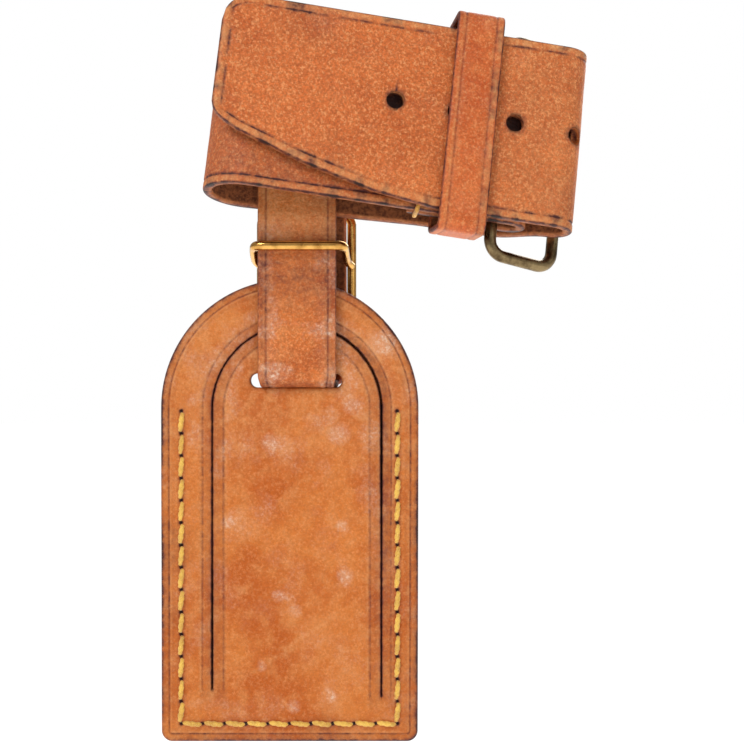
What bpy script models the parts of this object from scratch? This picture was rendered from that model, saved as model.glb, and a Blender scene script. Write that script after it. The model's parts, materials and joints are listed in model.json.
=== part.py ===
"""Leather luggage tag hanging from a buckled handle band.

Metres, +Z up. The origin is the middle of the band's handle opening, the tag hangs below it
along -Z, and its front faces -Y. The band leans in its own frame: U runs along the band to the
right, D runs from its front to its back, and W runs up its width.
"""
import math

import bmesh
import bpy
from mathutils import Vector

MM = 0.001
GAP = 0.35 * MM

# Handle band, in its own U, D, W frame
BAND_WIDTH = 45.4 * MM
BAND_THICK = 2.2 * MM
BAND_PITCH = math.radians(14.0)          # top edge leans back
BAND_LEAN = math.radians(6.1)            # right end hangs lower
BAND_YAW = math.radians(8.2)             # right end stands further back
BAND_PLACE = (0.0, 2.8 * MM, 0.2 * MM)
TONGUE_D = -11.2 * MM                    # outermost front layer
INNER_D = -8.0 * MM                      # front layer that carries the buckle
SEWN_D = -5.4 * MM                       # turned-back end where it is sewn down
FOLD_D = -2.2 * MM                       # turned-back end behind the buckle
WALL_SLOPE = math.radians(8.75)          # back wall where the tag strap hangs
WALL_NEAR_D = 3.2 * MM                   # back wall behind the keeper
TONGUE_TIP_U = -45.2 * MM
RIGHT_BEND_U = 38.9 * MM
RIGHT_BEND_R = 4.1 * MM
LEFT_BEND = (-34.1 * MM, 0.8 * MM)
LEFT_BEND_R = 8.8 * MM
FOLD_U = 29.2 * MM
FOLD_R = (FOLD_D - INNER_D) / 2
SEWN_END_U = 4.1 * MM
SEAM_U = 6.7 * MM
HOLE_R = 2.2 * MM
HOLE_PITCH = 14.73 * MM
FIRST_HOLE_U = -2.35 * MM
HOLE_W = 2.1 * MM                        # height of the first hole
HOLE_FALL = 0.5 * MM                     # each hole is a little lower than the one before
PIN_W = HOLE_W - 4 * HOLE_FALL

# Keeper loop on the band
KEEPER_U = 16.3 * MM
KEEPER_WIDTH = 11.4 * MM
KEEPER_THICK = 1.6 * MM
KEEPER_LOW_W = -24.9 * MM                # middle of the leather, below and above the band
KEEPER_HIGH_W = 26.5 * MM
KEEPER_FRONT_D = TONGUE_D - BAND_THICK / 2 - GAP - KEEPER_THICK / 2
KEEPER_BACK_D = FOLD_D + BAND_THICK / 2 + GAP + KEEPER_THICK / 2
KEEPER_CORNER = 1.6 * MM
KEEPER_SAG = 2.5 * MM                    # the loop hangs lower at its front

# Band buckle: a plain wire frame whose left leg sits in the fold
FRAME_WIRE = 1.5 * MM
LEFT_LEG = (24.9 * MM, (INNER_D + FOLD_D) / 2)
RIGHT_LEG = (41.2 * MM, 0.35 * MM)
FRAME_TOP_W = 24.9 * MM
FRAME_BOTTOM_W = -29.7 * MM
FRAME_CORNER = 3.6 * MM
PIN_WIRE = 0.95 * MM
PIN_SLOT = 3.4 * MM
PIN_REST = 3.7 * MM                      # the slanting pin's height over the right leg

# Tag
TAG_X = -25.3 * MM
TAG_R = 31.0 * MM
TAG_ARCH_Z = -67.6 * MM
TAG_BOTTOM_Z = -147.9 * MM
TAG_BOTTOM_HALF = 30.8 * MM
TAG_CORNER = 2.6 * MM
TAG_FRONT_Y = 1.0 * MM
PANEL_THICK = 2.1 * MM
POCKET = 0.9 * MM
TAG_BACK_Y = TAG_FRONT_Y + 2 * PANEL_THICK + POCKET
CARD_THICK = 0.3 * MM
CARD_X = (-49.2 * MM, -1.6 * MM)
CARD_Z = (-141.3 * MM, -66.8 * MM)
SLOT_X = -23.75 * MM
SLOT_WIDTH = 22.0 * MM
SLOT_Z = (-63.0 * MM, -59.8 * MM)
FLAP_X = -23.6 * MM
FLAP_R = 20.35 * MM
FLAP_ARCH_Z = -67.9 * MM
FLAP_LEFT_END_Z = -135.4 * MM
FLAP_RIGHT_END_Z = -137.0 * MM
FLAP_CUT = 0.5 * MM
SEAM_LEFT_X = -51.4 * MM
SEAM_RIGHT_X = 0.6 * MM
SEAM_TOP_Z = -68.4 * MM
SEAM_BOTTOM_Z = -143.6 * MM
SIDE_STITCHES = 14
BOTTOM_STITCHES = 10
THREAD_R = 0.4 * MM
STITCH_HOLE_R = 1.25 * MM

# Tag strap and its buckle
STRAP_WIDTH = 18.6 * MM
STRAP_THICK = 1.8 * MM
STRAP_FRONT_X = -23.5 * MM
STRAP_BACK_X = -21.5 * MM
STRAP_FRONT_Y = -0.6 * MM
STRAP_BACK_Y = 8.1 * MM
STRAP_SLOT_Z = -61.6 * MM
STRAP_TURN = 1.6 * MM
STRAP_TOP = (12.8 * MM, 24.6 * MM)       # middle of the turn over the back wall, in Y and Z
STRAP_TOP_R = 2.75 * MM
BUCKLE_WIRE = 1.1 * MM
BUCKLE_HALF_X = 11.05 * MM
BUCKLE_Y = STRAP_BACK_Y + STRAP_THICK / 2 + GAP + BUCKLE_WIRE
BUCKLE_TOP_Z = -20.6 * MM
BUCKLE_BOTTOM_Z = -43.4 * MM
BUCKLE_CORNER = 2.4 * MM
STRAP_FOLD_R = BUCKLE_WIRE + GAP + STRAP_THICK / 2
SEWN_Y = STRAP_BACK_Y + STRAP_THICK + GAP
STRAP_SEAM_Z = -51.5 * MM
BRIDGE_WIRE = 1.15 * MM
BRIDGE_Z = -28.8 * MM
STRAP_PIN_WIRE = 0.8 * MM

SIDES = 8


def new_collection(name):
    """A collection of its own in the scene."""
    group = bpy.data.collections.new(name)
    bpy.context.scene.collection.children.link(group)
    return group


def material(name, colour, roughness, metallic=0.0):
    """A Principled material for one sub-part."""
    made = bpy.data.materials.new(name)
    made.use_nodes = True
    shader = made.node_tree.nodes["Principled BSDF"]
    shader.inputs["Base Color"].default_value = (*colour, 1.0)
    shader.inputs["Roughness"].default_value = roughness
    shader.inputs["Metallic"].default_value = metallic
    return made


def add_mesh(name, mesh, group, parent=None, finish=None):
    """Link a mesh as a named object, with its material and parent."""
    piece = bpy.data.objects.new(name, mesh)
    group.objects.link(piece)
    piece.parent = parent
    if finish:
        mesh.materials.append(material(name, *finish))
    return piece


def arc(centre, radius, start, end, count):
    """Points on an arc, angles in degrees."""
    angles = (math.radians(start + (end - start) * i / count) for i in range(count + 1))
    return [(centre[0] + radius * math.cos(a), centre[1] + radius * math.sin(a)) for a in angles]


def ease_along_first(start, end, count):
    """An S-curve whose two ends run along the first axis."""
    points = []
    for i in range(count + 1):
        t = i / count
        s = t * t * (3 - 2 * t)
        points.append((start[0] + (end[0] - start[0]) * t, start[1] + (end[1] - start[1]) * s))
    return points


def ease_along_second(start, end, count):
    """An S-curve whose two ends run along the second axis."""
    swapped = ease_along_first(start[::-1], end[::-1], count)
    return [point[::-1] for point in swapped]


def without_repeats(points):
    """Drop points that repeat the one before."""
    kept = [points[0]]
    for point in points[1:]:
        if (Vector(point) - Vector(kept[-1])).length > 0.02 * MM:
            kept.append(point)
    return kept


def ribbon(name, centres, half, thickness, group, parent=None, finish=None):
    """A strip of leather: a ribbon through 3-D centres, plus or minus half, given its thickness."""
    mesh = bpy.data.meshes.new(name)
    shape = bmesh.new()
    rows = []
    for centre in centres:
        rows.append([shape.verts.new(Vector(centre) + side * Vector(half)) for side in (-1, 1)])
    for low, high in zip(rows, rows[1:]):
        shape.faces.new((low[0], low[1], high[1], high[0]))
    shape.to_mesh(mesh)
    shape.free()
    piece = add_mesh(name, mesh, group, parent, finish)
    solid = piece.modifiers.new("thickness", "SOLIDIFY")
    solid.thickness = thickness
    solid.offset = 0.0
    solid.use_even_offset = True
    return piece


def wire_curve(name, points, radius, cyclic=False, sides=SIDES):
    """A poly curve object with a round section."""
    curve = bpy.data.curves.new(name, "CURVE")
    curve.dimensions = "3D"
    curve.bevel_depth = radius
    curve.bevel_resolution = (sides - 4) // 2
    curve.use_fill_caps = True
    curve.render_resolution_u = 0
    spline = curve.splines.new("POLY")
    spline.points.add(len(points) - 1)
    for place, point in zip(spline.points, points):
        place.co = (*point, 1.0)
    spline.use_cyclic_u = cyclic
    return bpy.data.objects.new(name, curve)


def curve_to_piece(source, group, parent=None, finish=None):
    """Turn a curve object into a welded mesh object of the same name."""
    name = source.name
    bpy.context.scene.collection.objects.link(source)
    bpy.context.view_layer.update()
    evaluated = source.evaluated_get(bpy.context.evaluated_depsgraph_get())
    mesh = bpy.data.meshes.new_from_object(evaluated)
    matrix = source.matrix_world.copy()
    bpy.data.objects.remove(source)
    shape = bmesh.new()
    shape.from_mesh(mesh)
    bmesh.ops.remove_doubles(shape, verts=shape.verts, dist=0.01 * MM)
    bmesh.ops.recalc_face_normals(shape, faces=shape.faces)
    shape.to_mesh(mesh)
    shape.free()
    piece = add_mesh(name, mesh, group, parent, finish)
    piece.matrix_local = matrix
    mesh.shade_smooth()
    mesh.set_sharp_from_angle(angle=math.radians(40))
    return piece


def wire(name, points, radius, group, parent=None, finish=None, cyclic=False, sides=SIDES):
    """A round wire or thread through the points."""
    return curve_to_piece(wire_curve(name, points, radius, cyclic, sides), group, parent, finish)


def flat_outline(name, outline, low_y, high_y, group, finish=None):
    """A flat sheet standing in the XZ plane, between two depths."""
    curve = bpy.data.curves.new(name, "CURVE")
    curve.dimensions = "2D"
    curve.fill_mode = "BOTH"
    curve.extrude = (high_y - low_y) / 2
    curve.render_resolution_u = 0
    spline = curve.splines.new("POLY")
    spline.points.add(len(outline) - 1)
    for place, (x, z) in zip(spline.points, outline):
        place.co = (x, z, 0.0, 1.0)
    spline.use_cyclic_u = True
    source = bpy.data.objects.new(name, curve)
    source.location = (0.0, (low_y + high_y) / 2, 0.0)
    source.rotation_euler = (math.pi / 2, 0.0, 0.0)
    return curve_to_piece(source, group, None, finish)


def box_cutter(name, low, high, parent=None):
    """A box cutter between two corners."""
    mesh = bpy.data.meshes.new(name)
    shape = bmesh.new()
    bmesh.ops.create_cube(shape, size=1.0)
    low, high = Vector(low), Vector(high)
    for vert in shape.verts:
        vert.co = Vector([low[i] + (high[i] - low[i]) * (vert.co[i] + 0.5) for i in range(3)])
    shape.to_mesh(mesh)
    shape.free()
    return hide_cutter(add_mesh(name, mesh, CUTTERS, parent))


def rod_cutter(name, places, radius, length, parent=None, sides=12):
    """One cutter of separate round rods, each given by its middle and its direction."""
    mesh = bpy.data.meshes.new(name)
    shape = bmesh.new()
    for middle, direction in places:
        rod = bmesh.ops.create_cone(shape, cap_ends=True, segments=sides, radius1=radius,
                                    radius2=radius, depth=length)
        turn = Vector((0, 0, 1)).rotation_difference(Vector(direction))
        for vert in rod["verts"]:
            vert.co = Vector(middle) + turn @ vert.co
    shape.to_mesh(mesh)
    shape.free()
    return hide_cutter(add_mesh(name, mesh, CUTTERS, parent))


def hide_cutter(cutter):
    """Keep a cutter out of renders and show it as wire."""
    cutter.hide_render = True
    cutter.display_type = "WIRE"
    return cutter


def cut(piece, cutter):
    """Take the cutter's volume off the piece."""
    step = piece.modifiers.new(cutter.name, "BOOLEAN")
    step.operation = "DIFFERENCE"
    step.solver = "EXACT"
    step.object = cutter


def rounded_loop(low, high, radius, count=5):
    """A rounded rectangle in two coordinates, as a closed list of points."""
    corners = (((high[0] - radius, high[1] - radius), 0), ((low[0] + radius, high[1] - radius), 90),
               ((low[0] + radius, low[1] + radius), 180), ((high[0] - radius, low[1] + radius), 270))
    points = []
    for centre, start in corners:
        points += arc(centre, radius, start, start + 90, count)
    return points


# ---------------------------------------------------------------- handle band

def band_path():
    """Middle line of the band's leather in U and D, from the tongue tip to the sewn end."""
    bend_d = TONGUE_D + RIGHT_BEND_R
    path = [(TONGUE_TIP_U, TONGUE_D), (RIGHT_BEND_U, TONGUE_D)]
    path += arc((RIGHT_BEND_U, bend_d), RIGHT_BEND_R, -90, 90, 12)
    path += ease_along_first((RIGHT_BEND_U, bend_d + RIGHT_BEND_R), (26.6 * MM, WALL_NEAR_D), 12)
    path += [(8.6 * MM, WALL_NEAR_D)]
    path += arc(LEFT_BEND, LEFT_BEND_R, 90 - math.degrees(WALL_SLOPE), 270, 18)
    path += [(FOLD_U, INNER_D)]
    path += arc((FOLD_U, (INNER_D + FOLD_D) / 2), FOLD_R, -90, 90, 12)
    path += ease_along_first((23.1 * MM, FOLD_D), (16.1 * MM, SEWN_D), 8)
    path += [(SEWN_END_U, SEWN_D)]
    return without_repeats(path)


def along_path(path, u_start, distance):
    """The place and direction on a path, a distance past where it first reaches u_start."""
    left = distance
    previous = Vector((u_start, path[0][1]))
    for point in path[1:]:
        step = Vector(point) - previous
        if point[0] < u_start and left == distance:
            continue
        if step.length >= left:
            return previous + step.normalized() * left, step.normalized()
        left -= step.length
        previous = Vector(point)
    return previous, step.normalized()


def tongue_waste():
    """Outline, in U and W, of what is cut away round the tongue's pointed end."""
    half = BAND_WIDTH / 2
    tip = TONGUE_TIP_U
    edge = arc((tip + 7 * MM, half - 7 * MM), 7 * MM, 90, 180, 8)
    edge += arc((tip + 3.4 * MM, -5.0 * MM), 3.4 * MM, 180, 245, 5)
    edge += [(-38.6 * MM, -10.9 * MM), (-22 * MM, -16.6 * MM), (-5.4 * MM, -20.7 * MM), (9.5 * MM, -half)]
    far = half + 5 * MM
    return edge + [(9.5 * MM, -far), (tip - 5 * MM, -far), (tip - 5 * MM, far), (tip + 7 * MM, far)]


def make_band():
    """The wide strip: tongue, right bend, back wall, left bend, inner layer and sewn fold."""
    path = band_path()
    half = (0.0, 0.0, BAND_WIDTH / 2)
    band = ribbon("handle_band", [(u, d, 0.0) for u, d in path], half, BAND_THICK, PARTS,
                  BAND_FRAME, ((0.55, 0.20, 0.08), 0.55))
    waste = flat_outline("tongue_waste", tongue_waste(), TONGUE_D - 3 * MM, TONGUE_D + 1.5 * MM, CUTTERS)
    waste.parent = BAND_FRAME
    cut(band, hide_cutter(waste))
    places = []
    for i in range(5):
        (u, d), direction = along_path(path, FIRST_HOLE_U, i * HOLE_PITCH + 0.001 * MM)
        places.append(((u, d, HOLE_W - i * HOLE_FALL), (-direction.y, direction.x, 0.0)))
    cut(band, rod_cutter("punched_holes", places, HOLE_R, 2.8 * MM, BAND_FRAME))
    low = (LEFT_LEG[0] - 4.6 * MM, INNER_D - BAND_THICK / 2 - 0.2 * MM, PIN_W - PIN_SLOT / 2)
    high = (FOLD_U + FOLD_R + 2 * MM, FOLD_D + BAND_THICK / 2 + 0.2 * MM, PIN_W + PIN_SLOT / 2)
    cut(band, box_cutter("pin_slot", low, high, BAND_FRAME))
    middle_d = (INNER_D + SEWN_D) / 2
    holes = [((SEAM_U, middle_d, w), (0, 1, 0)) for w in fold_seam_places()]
    cut(band, rod_cutter("fold_seam_holes", holes, 0.75 * MM, 5.6 * MM, BAND_FRAME, 8))
    return band


def fold_seam_places():
    """Heights of the holes of the seam that closes the band's fold."""
    count = 8
    edge = BAND_WIDTH / 2 - 3 * MM
    return [-edge + 2 * edge * i / (count - 1) for i in range(count)]


def make_fold_stitching():
    """One thread through the fold seam, which wraps over the band's lower edge."""
    front = INNER_D - BAND_THICK / 2 - 0.5 * MM
    back = SEWN_D + BAND_THICK / 2 + 0.5 * MM
    points = []
    for i, w in enumerate(fold_seam_places()):
        sides = (back, front) if i % 2 == 0 else (front, back)
        points += [(SEAM_U, side, w) for side in sides]
    low = -BAND_WIDTH / 2 - 0.5 * MM
    wrap = [(SEAM_U + 0.6 * MM, front, -BAND_WIDTH / 2 + 3 * MM), (SEAM_U + 0.6 * MM, front, low),
            (SEAM_U + 0.6 * MM, back, low), (SEAM_U, back, low + 1.5 * MM)]
    wire("fold_stitching", wrap + points, 0.35 * MM, PARTS, BAND_FRAME, ((0.72, 0.45, 0.08), 0.7), sides=6)


def make_keeper():
    """The leather loop that holds the tongue down, and the seam that closes it."""
    loop = rounded_loop((KEEPER_FRONT_D, KEEPER_LOW_W), (KEEPER_BACK_D, KEEPER_HIGH_W), KEEPER_CORNER)
    depth = KEEPER_BACK_D - KEEPER_FRONT_D
    loop = [(d, w - KEEPER_SAG * (KEEPER_BACK_D - d) / depth if w < 0 else w) for d, w in loop]
    half = (KEEPER_WIDTH / 2, 0.0, 0.0)
    start = ((KEEPER_BACK_D, 0.3 * MM), (KEEPER_BACK_D, -0.3 * MM))
    path = [start[0]] + loop + [start[1]]
    ribbon("band_keeper", [(KEEPER_U, d, w) for d, w in path], half, KEEPER_THICK, PARTS, BAND_FRAME,
           ((0.50, 0.18, 0.07), 0.5))
    lay = KEEPER_BACK_D + KEEPER_THICK / 2 + 0.37 * MM
    points = []
    for i in range(5):
        u = KEEPER_U - 4 * MM + i * 2 * MM
        side = 2.2 * MM if i % 2 == 0 else -2.2 * MM
        points.append((u, lay, side))
    wire("keeper_stitching", points, 0.3 * MM, PARTS, BAND_FRAME, ((0.72, 0.45, 0.08), 0.7), sides=6)


def make_band_buckle():
    """The wire frame in the fold, and its pin, each about the frame's left leg."""
    span = Vector((RIGHT_LEG[0] - LEFT_LEG[0], RIGHT_LEG[1] - LEFT_LEG[1]))
    loop = rounded_loop((0.0, FRAME_BOTTOM_W), (span.length, FRAME_TOP_W), FRAME_CORNER)
    side = span.normalized()
    points = [(side.x * a, side.y * a, w) for a, w in loop]
    frame = wire("band_buckle_frame", points, FRAME_WIRE, PARTS, BAND_FRAME,
                 ((0.20, 0.16, 0.09), 0.4, 1.0), cyclic=True, sides=12)
    frame.location = (*LEFT_LEG, 0.0)
    rest = (RIGHT_LEG[0] - LEFT_LEG[0], RIGHT_LEG[1] - LEFT_LEG[1] + PIN_REST)
    path = hook_path(FRAME_WIRE + GAP + PIN_WIRE, rest, -1)
    pin = wire("band_buckle_pin", [(u, d, PIN_W) for u, d in path], PIN_WIRE, PARTS, BAND_FRAME,
               ((0.20, 0.16, 0.09), 0.4, 1.0), sides=8)
    pin.location = (*LEFT_LEG, 0.0)


def hook_path(radius, rest, side):
    """A pin's wire: an open hook round its bar at the origin, then straight to where it rests."""
    rest = Vector(rest)
    toward = math.degrees(math.atan2(rest.y, rest.x))
    leave = toward + side * math.degrees(math.acos(radius / rest.length))
    path = arc((0.0, 0.0), radius, leave + side * 275, leave, 12)
    tip = rest + (rest - Vector(path[-1])).normalized() * 1.6 * MM
    return path + [tuple(Vector(path[-1]).lerp(tip, i / 5)) for i in range(1, 6)]


# ---------------------------------------------------------------- tag

def tag_outline():
    """The tag's arch, sides and rounded bottom corners in X and Z."""
    outline = arc((TAG_X, TAG_ARCH_Z), TAG_R, 0, 180, 48)
    low = TAG_BOTTOM_Z + TAG_CORNER
    inner = TAG_BOTTOM_HALF - TAG_CORNER
    outline += arc((TAG_X - inner, low), TAG_CORNER, 180, 270, 6)
    outline += arc((TAG_X + inner, low), TAG_CORNER, 270, 360, 6)
    return outline


def stitch_holes():
    """Hole places in X and Z, down the left side, along the bottom and up the right side."""
    side_step = (SEAM_TOP_Z - SEAM_BOTTOM_Z) / SIDE_STITCHES
    bottom_step = (SEAM_RIGHT_X - SEAM_LEFT_X) / BOTTOM_STITCHES
    holes = [(SEAM_LEFT_X, SEAM_TOP_Z - i * side_step) for i in range(SIDE_STITCHES)]
    holes += [(SEAM_LEFT_X + i * bottom_step, SEAM_BOTTOM_Z) for i in range(BOTTOM_STITCHES)]
    holes += [(SEAM_RIGHT_X, SEAM_BOTTOM_Z + i * side_step) for i in range(SIDE_STITCHES + 1)]
    return holes


def seam_side(index):
    """Unit direction in X and Z that points from the seam to the tag's middle, at one hole."""
    if index < SIDE_STITCHES:
        return Vector((1, 0))
    if index == SIDE_STITCHES:
        return Vector((1, 1))
    if index < SIDE_STITCHES + BOTTOM_STITCHES:
        return Vector((0, 1))
    if index == SIDE_STITCHES + BOTTOM_STITCHES:
        return Vector((-1, 1))
    return Vector((-1, 0))


def make_saddle_thread(name, offset, first_side):
    """One of the two threads of the saddle stitch, weaving through every hole."""
    front = TAG_FRONT_Y - THREAD_R - 0.1 * MM
    back = TAG_BACK_Y + THREAD_R + 0.1 * MM
    points = []
    for i, hole in enumerate(stitch_holes()):
        place = Vector(hole) + seam_side(i) * offset
        sides = (front, back) if (i + first_side) % 2 == 0 else (back, front)
        points += [(place.x, y, place.y) for y in sides]
    wire(name, points, THREAD_R, PARTS, None, ((0.78, 0.50, 0.10), 0.6), sides=6)


def make_tag():
    """Front panel with its flap cut, back panel, address card and the two seam threads."""
    front = flat_outline("front_panel", tag_outline(), TAG_FRONT_Y, TAG_FRONT_Y + PANEL_THICK,
                         PARTS, ((0.60, 0.25, 0.09), 0.5))
    back = flat_outline("back_panel", tag_outline(), TAG_BACK_Y - PANEL_THICK, TAG_BACK_Y,
                        PARTS, ((0.56, 0.22, 0.08), 0.55))
    middle_y = (TAG_FRONT_Y + TAG_BACK_Y) / 2
    flat_outline("address_card", rounded_loop((CARD_X[0], CARD_Z[0]), (CARD_X[1], CARD_Z[1]), 2 * MM, 3),
                 middle_y - CARD_THICK / 2, middle_y + CARD_THICK / 2, PARTS, ((0.85, 0.80, 0.68), 0.8))
    half_slot = SLOT_WIDTH / 2
    slot = flat_outline("strap_slot", rounded_loop((SLOT_X - half_slot, SLOT_Z[0]),
                                                   (SLOT_X + half_slot, SLOT_Z[1]), 1.5 * MM, 4),
                        TAG_FRONT_Y - 2 * MM, TAG_BACK_Y + 2 * MM, CUTTERS)
    hide_cutter(slot)
    rods = [((x, middle_y, z), (0, 1, 0)) for x, z in stitch_holes()]
    holes = rod_cutter("stitch_holes", rods, STITCH_HOLE_R, 9 * MM, None, 8)
    for panel in (front, back):
        cut(panel, slot)
        cut(panel, holes)
    flap = [(FLAP_X + FLAP_R, FLAP_RIGHT_END_Z)]
    flap += arc((FLAP_X, FLAP_ARCH_Z), FLAP_R, 0, 180, 24)
    flap += [(FLAP_X - FLAP_R, FLAP_LEFT_END_Z)]
    line = [(x, TAG_FRONT_Y + PANEL_THICK / 2, z) for x, z in flap]
    kerf = ribbon("flap_cut", line, (0.0, PANEL_THICK, 0.0), FLAP_CUT, CUTTERS)
    cut(front, hide_cutter(kerf))
    make_saddle_thread("saddle_thread_left_hand", -0.48 * MM, 0)
    make_saddle_thread("saddle_thread_right_hand", 0.48 * MM, 1)


# ---------------------------------------------------------------- tag strap

def strap_path():
    """Middle line of the strap from its sewn end to its free tail.

    Each point is (share, y, z). The share is 0 on the front run and 1 on the back run, which sits
    a little further right.
    """
    bar = (BUCKLE_Y, BUCKLE_BOTTOM_Z)
    tail_y = SEWN_Y + STRAP_THICK + 1.1 * MM
    over_fold_y = BUCKLE_Y + STRAP_FOLD_R + STRAP_THICK + GAP
    sewn = [(SEWN_Y, -56.5 * MM)]
    sewn += ease_along_second((SEWN_Y, -50 * MM), (BUCKLE_Y + STRAP_FOLD_R, -45 * MM), 6)
    sewn += arc(bar, STRAP_FOLD_R, 0, 180, 12)
    shift = ease_along_second((1.0, -46 * MM), (0.0, -58 * MM), 6)
    slot = arc((STRAP_BACK_Y - STRAP_TURN, STRAP_SLOT_Z + STRAP_TURN), STRAP_TURN, 0, -90, 6)
    slot += arc((STRAP_FRONT_Y + STRAP_TURN, STRAP_SLOT_Z + STRAP_TURN), STRAP_TURN, 270, 180, 6)
    slot += ease_along_second((STRAP_FRONT_Y, -26 * MM), (-0.95 * MM, -21.5 * MM), 4)
    turn = arc(STRAP_TOP, STRAP_TOP_R, 165, 0, 12)
    back = ease_along_second((STRAP_TOP[0] + STRAP_TOP_R, 20 * MM), (STRAP_BACK_Y, -17 * MM), 12)
    back += ease_along_second((STRAP_BACK_Y, -22 * MM), (over_fold_y, -41 * MM), 10)
    back += ease_along_second((over_fold_y, -45 * MM), (tail_y, -52 * MM), 6)
    back += [(tail_y, -60 * MM)]
    path = [(1.0, y, z) for y, z in sewn]
    path += [(share, STRAP_BACK_Y, z) for share, z in shift]
    path += [(0.0, y, z) for y, z in slot]
    path += [(i / (len(turn) - 1), y, z) for i, (y, z) in enumerate(turn)]
    path += [(1.0, y, z) for y, z in back]
    return without_repeats(path)


def make_strap():
    """The narrow strap that ties the tag to the band's back wall, with its seam thread."""
    shift = STRAP_BACK_X - STRAP_FRONT_X
    centres = [(STRAP_FRONT_X + share * shift, y, z) for share, y, z in strap_path()]
    strap = ribbon("tag_strap", centres, (STRAP_WIDTH / 2, 0.0, 0.0), STRAP_THICK, PARTS, None,
                   ((0.50, 0.18, 0.06), 0.5))
    half = 1.5 * MM
    cut(strap, box_cutter("strap_pin_slot", (STRAP_BACK_X - half, 6.6 * MM, -47.2 * MM),
                          (STRAP_BACK_X + half, BUCKLE_Y + STRAP_FOLD_R + STRAP_THICK / 2 + 0.15 * MM,
                           -39.2 * MM)))
    cut(strap, box_cutter("strap_pin_hole", (STRAP_BACK_X - half, 6.6 * MM, -36.5 * MM),
                          (STRAP_BACK_X + half, 17 * MM, -26.5 * MM)))
    middle_y = (STRAP_BACK_Y + SEWN_Y) / 2
    places = [STRAP_BACK_X + (i - 1.5) * 4 * MM for i in range(4)]
    rods = [((x, middle_y, STRAP_SEAM_Z), (0, 1, 0)) for x in places]
    cut(strap, rod_cutter("strap_seam_holes", rods, 0.65 * MM, 4.6 * MM, None, 8))
    front = STRAP_BACK_Y - STRAP_THICK / 2 - 0.4 * MM
    back = SEWN_Y + STRAP_THICK / 2 + 0.4 * MM
    points = []
    for i, x in enumerate(places):
        sides = (back, front) if i % 2 == 0 else (front, back)
        points += [(x, y, STRAP_SEAM_Z) for y in sides]
    wire("strap_stitching", points, 0.3 * MM, PARTS, None, ((0.72, 0.45, 0.08), 0.7), sides=6)


def make_strap_buckle():
    """The polished frame, its wire bridge in front of the strap, and its pin."""
    brass = ((0.83, 0.55, 0.18), 0.2, 1.0)
    loop = rounded_loop((-BUCKLE_HALF_X, 0.0), (BUCKLE_HALF_X, BUCKLE_TOP_Z - BUCKLE_BOTTOM_Z),
                        BUCKLE_CORNER)
    frame = wire("strap_buckle_frame", [(x, 0.0, z) for x, z in loop], BUCKLE_WIRE, PARTS, None,
                 brass, cyclic=True, sides=10)
    frame.location = (STRAP_BACK_X, BUCKLE_Y, BUCKLE_BOTTOM_Z)
    bridge_y = STRAP_FRONT_Y - STRAP_THICK / 2 - 0.3 * MM - BRIDGE_WIRE
    land_y = BUCKLE_Y - BUCKLE_WIRE - 0.3 * MM - BRIDGE_WIRE
    left = STRAP_FRONT_X - STRAP_WIDTH / 2 - 0.35 * MM - BRIDGE_WIRE
    right = STRAP_FRONT_X + STRAP_WIDTH / 2 + 0.35 * MM + BRIDGE_WIRE
    turn = 1.5 * MM
    run = arc((left + turn, bridge_y + turn), turn, 180, 270, 5)
    run += arc((right - turn, bridge_y + turn), turn, 270, 360, 5)
    drop = 4.4 * MM
    points = [(STRAP_BACK_X - BUCKLE_HALF_X, land_y, BRIDGE_Z - drop),
              (left + 0.2 * MM, land_y - 3 * MM, BRIDGE_Z - 0.75 * drop)]
    points += [(x, y, BRIDGE_Z) for x, y in run]
    points += [(right + 0.6 * MM, land_y - 3 * MM, BRIDGE_Z - 0.75 * drop),
               (STRAP_BACK_X + BUCKLE_HALF_X, land_y, BRIDGE_Z - drop)]
    wire("strap_buckle_bridge", points, BRIDGE_WIRE, PARTS, None, brass, sides=10)
    coil = BUCKLE_WIRE + GAP + STRAP_PIN_WIRE
    path = hook_path(coil, (coil + 0.1 * MM, BUCKLE_TOP_Z - BUCKLE_BOTTOM_Z), 1)
    pin = wire("strap_buckle_pin", [(0.0, y, z) for y, z in path], STRAP_PIN_WIRE, PARTS, None, brass)
    pin.location = (STRAP_BACK_X, BUCKLE_Y, BUCKLE_BOTTOM_Z)


for old in list(bpy.data.objects):
    bpy.data.objects.remove(old)

PARTS = new_collection("luggage_tag")
CUTTERS = new_collection("cutters")
BAND_FRAME = bpy.data.objects.new("band_lean", None)
BAND_FRAME.rotation_mode = "ZXY"
BAND_FRAME.rotation_euler = (-BAND_PITCH, BAND_LEAN, BAND_YAW)
BAND_FRAME.location = BAND_PLACE
PARTS.objects.link(BAND_FRAME)

make_band()
make_fold_stitching()
make_keeper()
make_band_buckle()
make_tag()
make_strap()
make_strap_buckle()
bpy.context.view_layer.update()
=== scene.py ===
"""Looks of the leather luggage tag: sewn panels, wrinkled strap, worn handle band and brass buckles."""
import json
import math

import bpy
import numpy as np
from mathutils import Euler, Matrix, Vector, noise
from mathutils.geometry import delaunay_2d_cdt


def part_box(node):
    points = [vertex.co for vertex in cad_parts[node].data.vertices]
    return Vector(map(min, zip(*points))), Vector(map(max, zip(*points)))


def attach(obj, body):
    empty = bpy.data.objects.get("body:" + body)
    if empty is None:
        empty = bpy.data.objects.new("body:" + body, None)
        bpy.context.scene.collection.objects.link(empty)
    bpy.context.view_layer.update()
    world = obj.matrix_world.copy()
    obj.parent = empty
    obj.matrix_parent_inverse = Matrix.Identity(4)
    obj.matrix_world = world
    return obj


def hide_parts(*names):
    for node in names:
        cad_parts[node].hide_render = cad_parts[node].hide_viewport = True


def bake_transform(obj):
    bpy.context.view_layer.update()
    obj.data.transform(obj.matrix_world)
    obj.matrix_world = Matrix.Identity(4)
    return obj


# Lengths are in millimetres down to the stage, which is in metres
MM = 0.001

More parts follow.
